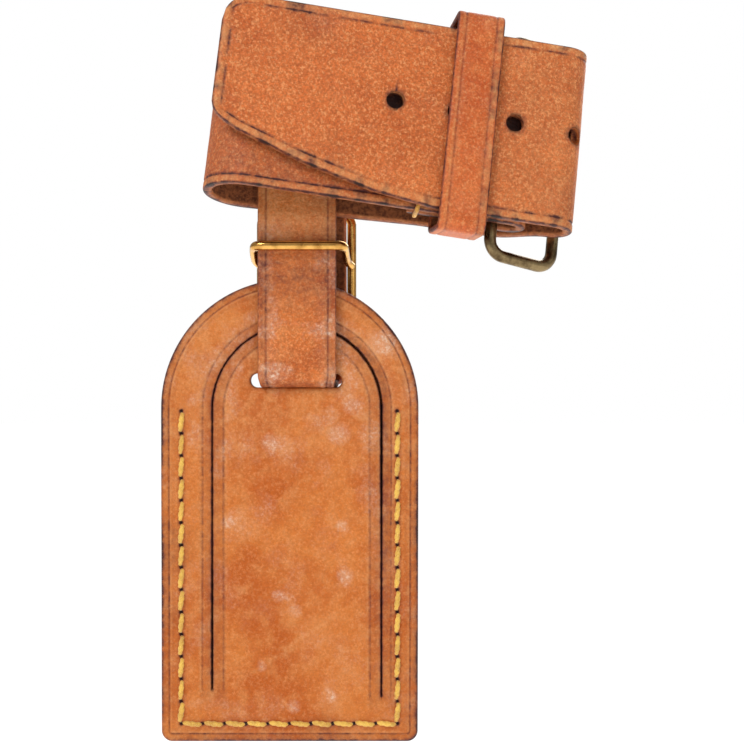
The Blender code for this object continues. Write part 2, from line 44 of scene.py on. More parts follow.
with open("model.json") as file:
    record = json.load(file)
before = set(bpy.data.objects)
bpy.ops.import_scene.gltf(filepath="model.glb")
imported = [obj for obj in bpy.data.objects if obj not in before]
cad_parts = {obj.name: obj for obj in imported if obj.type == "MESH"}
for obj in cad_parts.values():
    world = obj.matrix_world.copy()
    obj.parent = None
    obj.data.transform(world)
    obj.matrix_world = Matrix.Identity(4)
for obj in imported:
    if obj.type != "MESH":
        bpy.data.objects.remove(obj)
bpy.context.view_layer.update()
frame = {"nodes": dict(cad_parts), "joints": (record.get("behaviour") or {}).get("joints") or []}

# Places that the frame gives
PANEL_LOW, PANEL_HIGH = (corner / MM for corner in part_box("front_panel"))
BACK_LOW, BACK_HIGH = (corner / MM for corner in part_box("back_panel"))
JOINTS = {joint["name"]: joint for joint in frame["joints"]}
BUCKLE_BAR = np.array(JOINTS["strap_pin_lift"]["pos_m"]) / MM
BAND_TURN = np.array(Euler((math.radians(-14), math.radians(6.1), math.radians(8.2)), "ZXY").to_matrix())
BAND_PLACE = np.array((0, 2.8, 0.2))

# Tag
TAG_X = (PANEL_LOW.x + PANEL_HIGH.x) / 2
TAG_R = (PANEL_HIGH.x - PANEL_LOW.x) / 2
TAG_ARCH_Z = PANEL_HIGH.z - TAG_R
TAG_BOTTOM_Z = PANEL_LOW.z
TAG_BOTTOM_HALF = TAG_R - 0.2
TAG_CORNER = 2.6
SLOT = (-23.75, -61.05)
SLOT_HALF = (11, 1.67)
SLOT_CORNER = 1.6
FLAP = (-23.6, -67.9)
FLAP_R = 20.35
FLAP_END_Z = (-137, -135.4)
SEAM_X = (-51.4, 0.6)
SEAM_Z = (-143.6, -68.4)
SIDE_STITCHES = 14
BOTTOM_STITCHES = 10
FACE_INSET = 0.12  # how far an outer face lies inside its box

# Handle band, in its own U (along), D (front to back) and W (up) frame
BAND_HALF = 22.7
BAND_THICK = 2.2
BAND_STEP = 0.55
TONGUE_D = -11.2
INNER_D = -8
SEWN_D = -5.4
FOLD_D = -2.2
WALL_SLOPE = 8.75
WALL_NEAR_D = 3.2
TONGUE_TIP_U = -45.2
RIGHT_BEND_U = 38.9
RIGHT_BEND_R = 4.1
LEFT_BEND = (-34.1, 0.8)
LEFT_BEND_R = 8.8
FOLD_U = 29.2
FIRST_HOLE_U = -2.35
FIRST_HOLE_S = FIRST_HOLE_U - TONGUE_TIP_U
HOLES = 5
HOLE_PITCH = 14.73
HOLE_W = 2.1
HOLE_FALL = 0.5
HOLE_R = 2.15
SEAM_U = 6.7
KEEPER_U = 16.3
KEEPER_HALF = 5.7
KEEPER_THICK = 1.6
KEEPER_W = (-24.9, 26.5)
KEEPER_SAG = 2.5
KEEPER_D = (TONGUE_D - 2.25, FOLD_D + 2.25)
LEFT_LEG = (24.9, -5.1)
RIGHT_LEG = (41.2, 0.35)
FRAME_W = (-29.7, 24.9)

# Strap and its buckle
STRAP_HALF = 9.4
STRAP_THICK = 1.8
STRAP_X = (-23.5, -21.5)
STRAP_Y = (-0.6, 8.1)
STRAP_SLOT_Z = -61.85
STRAP_TURN = 1.6
STRAP_TOP = (12.8, 24.6)
STRAP_TOP_R = 2.75
BUCKLE_WIRE = 1.1
BUCKLE_TOP_Z = -20.6
BUCKLE_HALF_X = 11.05
BRIDGE_WIRE = 1.22
BRIDGE_Z = -28.8
SEWN_Y = STRAP_Y[1] + 2.15
STRAP_SEAM_Z = -51.5


# -------- small helpers

def srgb(red, green, blue):
    """Screen colour 0-255 to a linear colour."""
    linear = []
    for value in (red, green, blue):
        share = value / 255
        linear.append(share / 12.92 if share <= 0.04045 else ((share + 0.055) / 1.055) ** 2.4)
    return (*linear, 1)


def smooth(value, low, high):
    """0 below low, 1 above high, smooth between."""
    t = np.clip((value - low) / (high - low), 0, 1)
    return t * t * (3 - 2 * t)


def bell(distance, width):
    """A smooth bump of height 1 around distance 0."""
    return np.exp(-(distance / width) ** 2)


def rough(points, scale, seed):
    """Smooth noise of about -1 to 1 at each point, with features 1/scale millimetres across."""
    shift = Vector((seed * 17.3, seed * 5.1, seed * 9.7))
    return np.array([noise.noise(Vector(p) * scale + shift) for p in points])


def ripple(a, b, c, scale, seed):
    """Smooth noise over a surface, in the shape of the three coordinates."""
    shape = np.broadcast(a, b, c).shape
    places = [np.broadcast_to(value, shape).ravel() for value in (a, b, c)]
    return rough(np.stack(places, 1), scale, seed).reshape(shape)


def layers(dark, pale, scuffed, flesh, darkest=2):
    """The four shares of the attribute of wear and painted light and shade, side by side."""
    shares = (np.clip(dark, 0, darkest), np.clip(pale, 0, 1), np.clip(scuffed, 0, 3), flesh)
    return np.stack([np.broadcast_to(share, np.shape(dark)) for share in shares], -1)


def arc(centre, radius, start, end, count):
    """Points on an arc, angles in degrees."""
    angles = np.radians(np.linspace(start, end, count + 1))
    return [(centre[0] + radius * math.cos(a), centre[1] + radius * math.sin(a)) for a in angles]


def rounded_corners(low, high, radius, count, between=0):
    """A rounded rectangle, with some points between its corners along the top and the bottom."""
    loop = []
    for side, near, far in ((1, high, low), (-1, low, high)):
        x, z, end = near[0] - side * radius, near[1] - side * radius, far[0] + side * radius
        start = 90 - 90 * side
        loop += arc((x, z), radius, start, start + 90, count)
        loop += [(place, near[1]) for place in np.linspace(x, end, between + 2)[1:-1]]
        loop += arc((end, z), radius, start + 90, start + 180, count)
    return loop


def ease(start, end, count, along=0):
    """An S-curve from start to end whose two ends run along one axis."""
    points = []
    for t in np.linspace(0, 1, count + 1):
        shares = [t * t * (3 - 2 * t)] * 2
        shares[along] = t
        points.append(tuple(start[i] + (end[i] - start[i]) * shares[i] for i in (0, 1)))
    return points


def unit(vectors):
    """Each row scaled to length 1."""
    return vectors / np.linalg.norm(vectors, axis=1)[:, None]


def travel(points):
    """Distance along a path to each of its points."""
    return np.concatenate(([0], np.cumsum(np.linalg.norm(np.diff(points, axis=0), axis=1))))


def dome(share):
    """Height of a quarter circle at a share of its width, 0 below it and 1 beyond it."""
    return np.sqrt(1 - (1 - np.clip(share, 0, 1)) ** 2)


def resample(points, step):
    """Evenly spaced points on a path, and the distance to each."""
    points = np.array(points, float)
    points = points[np.concatenate(([True], np.diff(travel(points)) > 1e-3))]
    travelled = travel(points)
    count = max(2, int(round(travelled[-1] / step)) + 1)
    places = np.linspace(0, travelled[-1], count)
    return np.stack([np.interp(places, travelled, points[:, i]) for i in range(points.shape[1])], 1), places


def round_edge(inset, radius):
    """How far a rounded edge drops below the face, at a distance in from the edge."""
    reach = np.clip(radius - inset, 0, radius)
    return radius - np.sqrt(radius ** 2 - reach ** 2)


def add_object(name, data, place=(0, 0, 0)):
    """A new object of the scene."""
    made = bpy.data.objects.new(name, data)
    made.location = place
    bpy.context.scene.collection.objects.link(made)
    return made


def build(name, verts, faces, material, wear_and_painted_light=None):
    """A mesh object from arrays, with the attribute of wear and painted light and shade that the leather
    shader reads.
    """
    mesh = bpy.data.meshes.new(name)
    places = (np.asarray(verts) * MM).tolist()
    mesh.from_pydata(places, [], [tuple(map(int, f)) for f in faces])
    mesh.validate()
    if wear_and_painted_light is not None:
        layer = mesh.attributes.new("wear_and_painted_light", "FLOAT_COLOR", "POINT")
        layer.data.foreach_set("color", np.asarray(wear_and_painted_light, np.float32).ravel())
    mesh.shade_smooth()
    mesh.materials.append(material)
    return add_object(name, mesh)


def tube(points, radius, sides=16, closed=False, ply=0, twist=0):
    """Vertices and faces of a round wire, or of a two-ply thread when ply is above 0."""
    points = np.array(points, float)
    ahead = np.roll(points, -1, 0) - np.roll(points, 1, 0)
    if not closed:
        ahead[0] = points[1] - points[0]
        ahead[-1] = points[-1] - points[-2]
    ahead = unit(ahead)
    side = np.cross(ahead[0], (0.31, 0.52, 0.79))
    verts = []
    travelled = 0
    for i, point in enumerate(points):
        side = side - ahead[i] * side.dot(ahead[i])
        side /= np.linalg.norm(side)
        across = np.cross(ahead[i], side)
        if i:
            travelled += np.linalg.norm(point - points[i - 1])
        size = radius[i] if np.ndim(radius) else radius
        for j in range(sides):
            angle = 2 * math.pi * j / sides
            reach = size * (1 - ply * (1 - abs(math.cos(angle - twist * travelled))))
            verts.append(point + reach * (math.cos(angle) * side + math.sin(angle) * across))
    faces = []
    rings = len(points)
    for i in range(rings if closed else rings - 1):
        low, high = i * sides, ((i + 1) % rings) * sides
        for j in range(sides):
            k = (j + 1) % sides
            faces.append((low + j, low + k, high + k, high + j))
    if not closed:
        faces.append(tuple(range(sides - 1, -1, -1)))
        faces.append(tuple((rings - 1) * sides + j for j in range(sides)))
    return np.array(verts), faces


def join(parts):
    """One list of vertices and faces from several."""
    verts, faces, count = [], [], 0
    for more_verts, more_faces in parts:
        verts.append(more_verts)
        faces += [tuple(index + count for index in face) for face in more_faces]
        count += len(more_verts)
    return np.concatenate(verts), faces


def turned(directions):
    """Directions of the band's own frame in the row frame."""
    return np.asarray(directions) @ BAND_TURN.T


def to_world(points):
    """Points of the band's own frame in the row frame."""
    return turned(points) + BAND_PLACE


def stand_for(piece, body, node):
    """Let a piece move with a body, in the place of a CAD node."""
    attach(piece, body)
    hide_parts(node)


def add_piece(name, shape, material, body, node):
    """Build a piece from its vertices and faces, in the place of a CAD node."""
    stand_for(build(name, *shape, material), body, node)


# -------- materials

class Graph:
    """A short way to add and link shader nodes."""

    def __init__(self, tree, coordinates):
        self.tree = tree
        self.where = self.add("ShaderNodeTexCoord").outputs[coordinates]

    def feed(self, node, values):
        for key, value in values.items():
            if isinstance(value, bpy.types.NodeSocket):
                self.tree.links.new(value, node.inputs[key])
            else:
                node.inputs[key].default_value = value

    def add(self, kind, values=None, **settings):
        node = self.tree.nodes.new(kind)
        for key, value in settings.items():
            setattr(node, key, value)
        self.feed(node, values or {})
        return node

    def noise(self, scale, detail=3, roughness=0.55):
        values = {"Vector": self.where, "Scale": scale, "Detail": detail, "Roughness": roughness}
        return self.add("ShaderNodeTexNoise", values).outputs["Fac"]

    def span(self, value, low, high, new_low=0, new_high=1):
        values = {"Value": value, "From Min": low, "From Max": high, "To Min": new_low, "To Max": new_high}
        return self.add("ShaderNodeMapRange", values).outputs["Result"]

    def math(self, operation, first, second=0, clamp=False):
        values = {0: first, 1: second}
        return self.add("ShaderNodeMath", values, operation=operation, use_clamp=clamp).outputs[0]

    def times(self, first, second, clamp=False):
        return self.math("MULTIPLY", first, second, clamp)

    def plus(self, first, second, clamp=False):
        return self.math("ADD", first, second, clamp)

    def mix(self, share, first, second, blend="MIX"):
        values = {0: share, 6: first, 7: second}
        return self.add("ShaderNodeMix", values, data_type="RGBA", blend_type=blend).outputs[2]

    def bump(self, height, strength, distance):
        values = {"Height": height, "Strength": strength, "Distance": distance}
        return self.add("ShaderNodeBump", values).outputs["Normal"]


def new_material(name):
    """A material with its shader, and its graph over object coordinates."""
    made = bpy.data.materials.new(name)
    made.use_nodes = True
    graph = Graph(made.node_tree, "Object")
    return made, graph, made.node_tree.nodes["Principled BSDF"]


def leather(name, base, deep, light, scuffs, speckle):
    """Aged leather. The attribute that the shader reads holds dark, pale, scuffed and flesh-side shares; the
    dark share also carries painted shade, and the pale share painted highlights and painted light.
    """
    base, deep, light = srgb(*base), srgb(*deep), srgb(*light)
    made, graph, shader = new_material(name)
    mix, span, times, plus = graph.mix, graph.span, graph.times, graph.plus
    wear_and_painted_light = graph.add("ShaderNodeAttribute", attribute_name="wear_and_painted_light")
    shares = graph.add("ShaderNodeSeparateColor", {"Color": wear_and_painted_light.outputs["Color"]})
    dark, pale, scuffed = shares.outputs[0], shares.outputs[1], shares.outputs[2]
    flesh = wear_and_painted_light.outputs["Alpha"]
    mottle = graph.noise(260, 5, 0.65)
    grain = graph.noise(1700, 6, 0.8)
    dots = graph.noise(1300, 5, 0.75)
    colour = mix(span(graph.noise(48), 0.42, 0.62), base, deep)
    colour = mix(span(mottle, 0.48, 0.72, 0, 0.75), colour, light)
    colour = mix(span(mottle, 0.48, 0.28, 0, 0.6), colour, deep)
    tick = span(grain, 0.42, 0.58, 1 - 0.27 * speckle, 1 + 0.22 * speckle)
    ticks = graph.add("ShaderNodeCombineColor", {0: tick, 1: tick, 2: tick}).outputs[0]
    colour = mix(1, colour, ticks, "MULTIPLY")
    colour = mix(span(dots, 0.51, 0.62, 0, 0.6 * speckle), colour, srgb(236, 164, 104))
    specks = span(graph.noise(1150, 5, 0.75), 0.48, 0.66)
    clouds = span(graph.noise(110), 0.5, 0.74)
    haze = times(plus(times(specks, 0.5), 0.1), clouds)
    haze = times(times(haze, scuffed), scuffs)
    spot = times(span(scuffed, 1.4, 3), plus(specks, 0.35))
    haze = plus(haze, times(spot, 0.5), clamp=True)
    colour = mix(haze, colour, srgb(224, 194, 170))
    # The pale share holds wear, painted highlights and painted light; the dark share holds burnished edges,
    # creased lines and painted shade, near black above 1.
    wear_and_light_patches = span(graph.noise(520, 6, 0.8), 0.36, 0.6, 0.12, 1)
    colour = mix(times(pale, wear_and_light_patches), colour, srgb(214, 154, 98))
    broken = span(graph.noise(620, 4, 0.7), 0.32, 0.62, 1.15, 0.4)
    colour = mix(times(dark, broken, clamp=True), colour, srgb(88, 38, 32))
    colour = mix(span(dark, 1, 1.9), colour, srgb(34, 16, 10))
    nap = graph.noise(900, 6, 0.75)
    suede = mix(span(nap, 0.35, 0.65), srgb(74, 34, 16), srgb(160, 94, 54))
    gloss = plus(span(mottle, 0.3, 0.7, 0.43, 0.6), times(flesh, 0.4))
    pores = graph.add("ShaderNodeTexVoronoi", {"Vector": graph.where, "Scale": 1400}).outputs["Distance"]
    height = plus(times(grain, 0.7), times(pores, 0.6))
    height = plus(height, times(mottle, 0.8))
    height = plus(height, times(times(nap, flesh), 1.5))
    graph.feed(shader, {"Base Color": mix(flesh, colour, suede), "Roughness": gloss,
                        "Specular IOR Level": 0.3, "Normal": graph.bump(height, 0.7, 0.00025)})
    return made


def thread_material(name, bright, dirty):
    """Waxed linen thread, darker where it is dirty."""
    made, graph, shader = new_material(name)
    dirt = graph.span(graph.noise(330, 3, 0.6), 0.42, 0.66)
    fibres = graph.noise(5200, 2)
    colour = graph.mix(dirt, srgb(*bright), srgb(*dirty))
    colour = graph.mix(graph.span(fibres, 0.4, 0.62, 0, 0.4), colour, srgb(246, 214, 120))
    graph.feed(shader, {"Base Color": colour, "Roughness": 0.62, "Sheen Weight": 0.25,
                        "Normal": graph.bump(fibres, 0.4, 0.0001)})
    return made


def brass(name, bright, dull, roughness, tarnish):
    """Brass with tarnish in patches and fine handling marks."""
    made, graph, shader = new_material(name)
    patches = graph.span(graph.noise(300, 4, 0.6), 0.4, 0.68, 0, tarnish)
    gloss = graph.span(graph.noise(700, 4), 0.35, 0.7, roughness, roughness + 0.16)
    marks = graph.bump(graph.noise(2200, 3, 0.6), 0.12, 0.0001)
    graph.feed(shader, {"Base Color": graph.mix(patches, srgb(*bright), srgb(*dull)), "Metallic": 1,
                        "Roughness": gloss, "Normal": marks})
    return made


def card_material():
    """Cream card, with painted shade where it shows through the flap's cut."""
    made, graph, shader = new_material("address_card_stock")
    across = graph.add("ShaderNodeSeparateXYZ", {0: graph.where}).outputs["X"]
    off = graph.math("ABSOLUTE", graph.math("SUBTRACT", across, FLAP[0] * MM))
    off = graph.math("ABSOLUTE", graph.math("SUBTRACT", off, FLAP_R * MM))
    paper = graph.mix(graph.noise(1400, 4), srgb(228, 216, 190), srgb(244, 236, 216))
    # Painted shade: dark brown along the flap's cut, where the card shows through the gap.
    paper = graph.mix(graph.span(off, 0.9 * MM, 2.2 * MM), srgb(44, 24, 14), paper)
    graph.feed(shader, {"Base Color": paper, "Roughness": 0.85})
    return made


# Each leather: base, deep and light colours, then how scuffed and how speckled it is
TAG_LEATHER = leather("tag_leather", (199, 111, 41), (180, 85, 12), (206, 130, 70), 1, 0.42)
BACK_LEATHER = leather("tag_back_leather", (196, 108, 44), (178, 84, 16), (204, 126, 70), 1, 0.42)
BAND_LEATHER = leather("band_leather", (196, 101, 45), (180, 86, 34), (204, 114, 58), 0.25, 1)
KEEPER_LEATHER = leather("keeper_leather", (198, 98, 44), (182, 80, 28), (208, 118, 62), 0.35, 0.7)
STRAP_LEATHER = leather("strap_leather", (200, 107, 43), (172, 81, 27), (208, 130, 73), 1.9, 0.8)
THREAD = thread_material("seam_thread", (224, 172, 58), (186, 128, 34))
DARK_THREAD = thread_material("inner_thread", (216, 150, 36), (168, 104, 26))
BRASS = brass("polished_brass", (222, 170, 92), (150, 98, 40), 0.14, 0.8)
OLD_BRASS = brass("antique_brass", (138, 118, 84), (66, 50, 32), 0.26, 1)
CARD = card_material()


# -------- tag panels

def tag_inset(x, z):
    """Distance in from the tag's outline."""
    off = np.abs(x - TAG_X)
    arch = TAG_R - np.hypot(off, z - TAG_ARCH_Z)
    down = np.clip((TAG_ARCH_Z - z) / (TAG_ARCH_Z - TAG_BOTTOM_Z), 0, 1)
    side = TAG_R + (TAG_BOTTOM_HALF - TAG_R) * down - off
    base = z - TAG_BOTTOM_Z
    corner = TAG_CORNER - np.hypot(TAG_CORNER - side, TAG_CORNER - base)
    low = np.where((side < TAG_CORNER) & (base < TAG_CORNER), corner, np.minimum(side, base))
    return np.where(z > TAG_ARCH_Z, arch, low)


def slot_reach(x, z):
    """Distance out from the slot's edge, negative inside it."""
    away_x = np.abs(x - SLOT[0]) - SLOT_HALF[0] + SLOT_CORNER
    away_z = np.abs(z - SLOT[1]) - SLOT_HALF[1] + SLOT_CORNER
    outside = np.hypot(np.maximum(away_x, 0), np.maximum(away_z, 0))
    return outside + np.minimum(np.maximum(away_x, away_z), 0) - SLOT_CORNER


def flap_side(x, z):
    """Signed distance to the flap's cut: negative on the flap, positive outside it."""
    return np.where(z > FLAP[1], np.hypot(x - FLAP[0], z - FLAP[1]), np.abs(x - FLAP[0])) - FLAP_R


def flap_end(x, z):
    """Distance past the end of the flap's cut, 0 beside the cut."""
    end = np.where(x > FLAP[0], FLAP_END_Z[0], FLAP_END_Z[1])
    return np.maximum(end - z, 0)


def flap_gap(x, z):
    """Half width of the flap's cut: wide open at the upper right, tight at the upper left."""
    right = smooth(x, FLAP[0], FLAP[0] + 12) * smooth(z, -104, -78)
    low_left = smooth(-x, -FLAP[0], 8 - FLAP[0]) * smooth(-z, 100, 112)
    return 0.09 + 0.1 * right + 0.06 * low_left


def cut_distance(x, z):
    """Distance to the edge of the flap's cut, 0 inside it."""
    return np.hypot(np.maximum(np.abs(flap_side(x, z)) - flap_gap(x, z), 0), flap_end(x, z))


def seam_holes():
    """Hole places down the left side, along the bottom and up the right side."""
    side = np.linspace(SEAM_Z[1], SEAM_Z[0], SIDE_STITCHES + 1)
    bottom = np.linspace(SEAM_X[0], SEAM_X[1], BOTTOM_STITCHES + 1)
    holes = [(SEAM_X[0], z) for z in side[:-1]]
    holes += [(x, SEAM_Z[0]) for x in bottom[:-1]]
    return holes + [(SEAM_X[1], z) for z in side[::-1]]


def outline_loop(inset):
    """The tag's outline, a distance in from its edge."""
    radius = TAG_R - inset
    loop = arc((TAG_X, TAG_ARCH_Z), radius, 0, 180, 150)
    corner = max(TAG_CORNER - inset, 0.2)
    low = TAG_BOTTOM_Z + inset + corner
    reach = TAG_BOTTOM_HALF - inset - corner
    left = ease((TAG_X - radius, TAG_ARCH_Z), (TAG_X - reach - corner, low), 120, 1)
    right = ease((TAG_X + reach + corner, low), (TAG_X + radius, TAG_ARCH_Z), 120, 1)
    loop += left[1:-1] + arc((TAG_X - reach, low), corner, 180, 270, 8)
    loop += [(x, TAG_BOTTOM_Z + inset) for x in np.linspace(TAG_X - reach, TAG_X + reach, 90)[1:-1]]
    return loop + arc((TAG_X + reach, low), corner, 270, 360, 8) + right[1:-1]


def slot_loop(reach):
    """The slot's outline, a distance out from its edge."""
    half_x, half_z = SLOT_HALF[0] + reach, SLOT_HALF[1] + reach
    low, high = (SLOT[0] - half_x, SLOT[1] - half_z), (SLOT[0] + half_x, SLOT[1] + half_z)
    return rounded_corners(low, high, SLOT_CORNER + reach, 8, 28)


def flap_line(offset):
    """A line beside the flap's cut, from its right end over the arch to its left end."""
    right = [(FLAP[0] + FLAP_R, z) for z in np.linspace(FLAP_END_Z[0], FLAP[1], 110)[:-1]]
    left = [(FLAP[0] - FLAP_R, z) for z in np.linspace(FLAP[1], FLAP_END_Z[1], 110)[1:]]
    line = np.array(right + arc(FLAP, FLAP_R, 0, 180, 110) + left)
    out = right_of(line)
    gap = flap_gap(line[:, 0], line[:, 1]) if offset else 0
    side = math.copysign(1, offset)
    return line + out * (side * gap + offset)[:, None]


def flap_loop():
    """The closed outline of the flap's cut."""
    fine = 1e-3
    return [tuple(p) for p in flap_line(fine)] + [tuple(p) for p in flap_line(-fine)[::-1]]


def panel_points(with_flap):
    """Closed boundary loops, and the loose points between them."""
    loops = [outline_loop(0), slot_loop(0)]
    loose = []
    for inset in (0.08, 0.2, 0.4, 0.7, 1.2, 1.55, 1.75, 1.9, 2.05, 2.25, 2.7, 3.1, 3.6):
        loose += outline_loop(inset)
    for reach in (0.1, 0.25, 0.5):
        loose += slot_loop(reach)
    if with_flap:
        loops.append(flap_loop())
        for offset in (0.08, 0.2, 0.4, 0.8, 1.4, 1.8, 2.2, 2.6, 3.2):
            for side in (-1, 1):
                loose += [tuple(p) for p in flap_line(side * offset)]
    for x, z in seam_holes():
        for radius in (0, 0.3, 0.5, 0.75):
            loose += arc((x, z), radius, 0, 330, 11)
    return loops, loose


def grid_points(step):
    """Staggered points that fill the tag."""
    points = []
    rows = np.arange(TAG_BOTTOM_Z, TAG_ARCH_Z + TAG_R, step * 0.87)
    for i, z in enumerate(rows):
        for x in np.arange(TAG_X - TAG_R + (i % 2) * step / 2, TAG_X + TAG_R, step):
            points.append((x, z))
    return np.array(points)


def flat_mesh(loops, loose, keep):
    """Triangles between boundary loops, with loose points inside, where keep says so."""
    verts, edges = [], []
    for loop in loops:
        first = len(verts)
        verts += loop
        edges += [(first + i, first + (i + 1) % len(loop)) for i in range(len(loop))]
    verts += loose
    made = delaunay_2d_cdt([Vector(v) for v in verts], edges, [], 0, 1e-4)
    flat = np.array([tuple(v) for v in made[0]])
    faces = np.array([face for face in made[2]])
    middle = flat[faces].mean(1)
    return flat, faces[keep(middle[:, 0], middle[:, 1])]


def thick_panel(name, flat, faces, front, back, material, front_face_wear_and_light, back_face_wear_and_light):
    """A closed panel from its flat triangles and the depth of its two faces at each point."""
    used = np.unique(faces)
    index = np.full(len(flat), -1)
    index[used] = np.arange(len(used))
    flat, faces = flat[used], index[faces]
    count = len(flat)
    a, b, c = flat[faces[:, 0]], flat[faces[:, 1]], flat[faces[:, 2]]
    turn = (b[:, 0] - a[:, 0]) * (c[:, 1] - a[:, 1]) - (b[:, 1] - a[:, 1]) * (c[:, 0] - a[:, 0])
    faces[turn < 0] = faces[turn < 0][:, ::-1]
    low = front(flat[:, 0], flat[:, 1])
    high = back(flat[:, 0], flat[:, 1])
    verts = np.concatenate([np.stack([flat[:, 0], low, flat[:, 1]], 1),
                            np.stack([flat[:, 0], high, flat[:, 1]], 1)])
    sides = {}
    for face in faces.tolist():
        for i in range(3):
            edge = (face[i], face[(i + 1) % 3])
            if edge[::-1] in sides:
                del sides[edge[::-1]]
            else:
                sides[edge] = True
    walls = [(i, i + count, j + count, j) for i, j in sides]
    whole = [tuple(f) for f in faces.tolist()] + [tuple(i + count for i in f[::-1]) for f in faces.tolist()]
    wear_and_painted_light = np.concatenate([front_face_wear_and_light(flat[:, 0], flat[:, 1]), back_face_wear_and_light(flat[:, 0], flat[:, 1])])
    return build(name, verts, whole + walls, material, wear_and_painted_light)


def seam_distance(x, z):
    """Distance to the nearest stitch hole."""
    nearest = np.full(x.shape, 1000)
    for hole_x, hole_z in seam_holes():
        nearest = np.minimum(nearest, np.hypot(x - hole_x, z - hole_z))
    return nearest


def seam_line(x, z):
    """Distance to the seam's line, on its sewn stretch."""
    side = np.minimum(np.abs(x - SEAM_X[0]), np.abs(x - SEAM_X[1])) + np.maximum(z - SEAM_Z[1], 0)
    side = np.where(z < SEAM_Z[0], 1000, side)
    base = np.abs(z - SEAM_Z[0]) + np.where((x < SEAM_X[0]) | (x > SEAM_X[1]), 1000, 0)
    return np.minimum(side, base)


def swell(x, z, seed):
    """Slow unevenness of an old leather face, in millimetres."""
    return 0.16 * ripple(x, z, seed * 100, 0.038, seed) + 0.06 * ripple(x, z, seed * 100, 0.12, seed + 1)


def outer_drop(x, z, groove):
    """How far an outer face drops at its rim, slot, border groove and seam, in millimetres."""
    inset = tag_inset(x, z)
    drop = round_edge(inset, 0.75) + round_edge(np.maximum(slot_reach(x, z), 0), 0.5)
    drop += groove * bell(inset - 1.9, 0.26) + 0.6 * bell(seam_distance(x, z), 0.42)
    return drop + 0.14 * bell(seam_line(x, z), 0.8)


def front_depth(x, z):
    """Depth of the front panel's face."""
    cut, along = flap_side(x, z), bell(flap_end(x, z), 4)
    drop = outer_drop(x, z, 0.26) + 0.07 * bell(tag_inset(x, z) - 3.1, 0.35)
    drop += along * (0.15 * bell(cut - 2.2, 0.5) + 0.17 * bell(cut + 2.8, 0.6))
    drop += 0.9 * round_edge(cut_distance(x, z), 0.45)
    lifted = smooth(-cut, 0, 5) * smooth(z, -120, -80)
    right = smooth(x - FLAP[0], 8, 19) * smooth(z, -112, -84)
    drop -= 0.2 * lifted + 0.28 * right * (cut < 0)
    drop += 0.35 * bell(slot_reach(x, z), 1.6) * (z < SLOT[1])
    return PANEL_LOW.y + FACE_INSET + drop + swell(x, z, 1)


def front_back(x, z):
    """Depth of the front panel's hidden face."""
    return PANEL_HIGH.y - round_edge(tag_inset(x, z), 0.35) - 0.05


def edge_shares(x, z, seed):
    """Dark and pale shares that both outer faces have: rim, creased border, seam, and slot with a painted
    highlight round its lip.
    """
    inset, slot = tag_inset(x, z), slot_reach(x, z)
    drift = ripple(x, z, 300, 0.06, seed)
    dark = (1 + 0.5 * drift) * (1 - smooth(inset, 0.15, 1)) + 0.9 * bell(inset - 1.9, 0.2)
    dark += (0.28 + 0.3 * drift) * (1 - smooth(inset, 1.2, 2.1)) + 0.4 * bell(inset - 2.9, 0.2)
    dark += 2 * bell(seam_distance(x, z), 0.5) + 0.2 * bell(seam_line(x, z), 1)
    dark += 0.5 * bell(slot, 0.45)
    dark += 0.3 * smooth(ripple(x, z, 300, 0.09, seed + 2), 0.15, 0.7) * bell(inset - 4, 4)
    # Painted highlight: a pale line on the rounded lip round the slot.
    pale = 0.35 * bell(inset - 2.35, 0.2) + 0.2 * bell(slot - 0.8, 0.3)
    return dark, pale + 0.4 * smooth(drift, 0.3, 0.8) * bell(inset - 0.9, 0.5)


def front_wear_and_painted_light(x, z):
    """Wear, tone, painted shade and painted highlights of the front panel's face."""
    cut, along = flap_side(x, z), bell(flap_end(x, z), 3)
    tight = smooth(FLAP[0] - x, 0, 6)
    dark, pale = edge_shares(x, z, 3)
    # Painted shade: dark edges in the flap's cut and soft dark on both sides of it; two thin dark lines mark
    # the creases either side.
    dark += along * (1.25 * bell(cut_distance(x, z), 0.3) + 0.2 * bell(cut - 1.1, 0.9))
    dark += along * (0.75 * bell(cut - 2.4, 0.24) + 0.7 * bell(cut + 2.7, 0.24))
    dark += along * (0.3 * bell(cut + 1.3, 1.1) + 0.12 * bell(cut - 1, 1.2))
    # Painted shadow on the outer side of the open right-hand part of the cut.
    dark += along * 0.3 * (1 - tight) * bell(cut - 1.2, 0.8) * smooth(z, -122, -96)
    # Painted highlight on the flap's edge along the open right-hand part of the cut.
    pale += along * 0.45 * bell(cut + 0.6, 0.25) * (1 - tight)
    pale += along * 0.45 * (bell(cut + 3.15, 0.2) + bell(cut - 2.85, 0.2))
    pale += along * 0.45 * bell(cut, 0.5) * tight * smooth(-z, 106, 116)
    # Paler towards the top, plus the scratches.
    pale += 0.16 * smooth(z, -92, -70) + scratches(x, z)
    scuffed = 0.35 + 0.8 * smooth(z, -112, -64) + 0.4 * bell(np.abs(cut) - 3, 3)
    for spot_x, spot_z, size in SPOTS:
        scuffed += 2.4 * bell(np.hypot(x - spot_x, z - spot_z), size)
    return layers(dark, pale, scuffed, 0)


# Round scuffs on the front: x, z and size in millimetres
SPOTS = ((-24, -116.5, 2.2), (-24.4, -139.5, 2.2), (-13.5, -74, 2.4), (-10.5, -67, 1.8),
         (-15, -137, 1.8), (-40, -95, 1.6), (-13, -96, 1.6), (-30, -76, 2),
         (-12, -108, 2.6), (-28, -113, 2), (-32, -130, 1.6), (-3.5, -52, 2.6))

# Long scratches on the flap: start, end and strength
SCRATCHES = ((-30, -128, -12, -116, 0.5), (-37, -133, -22, -124, 0.35), (-20, -98, -8, -94, 0.25))


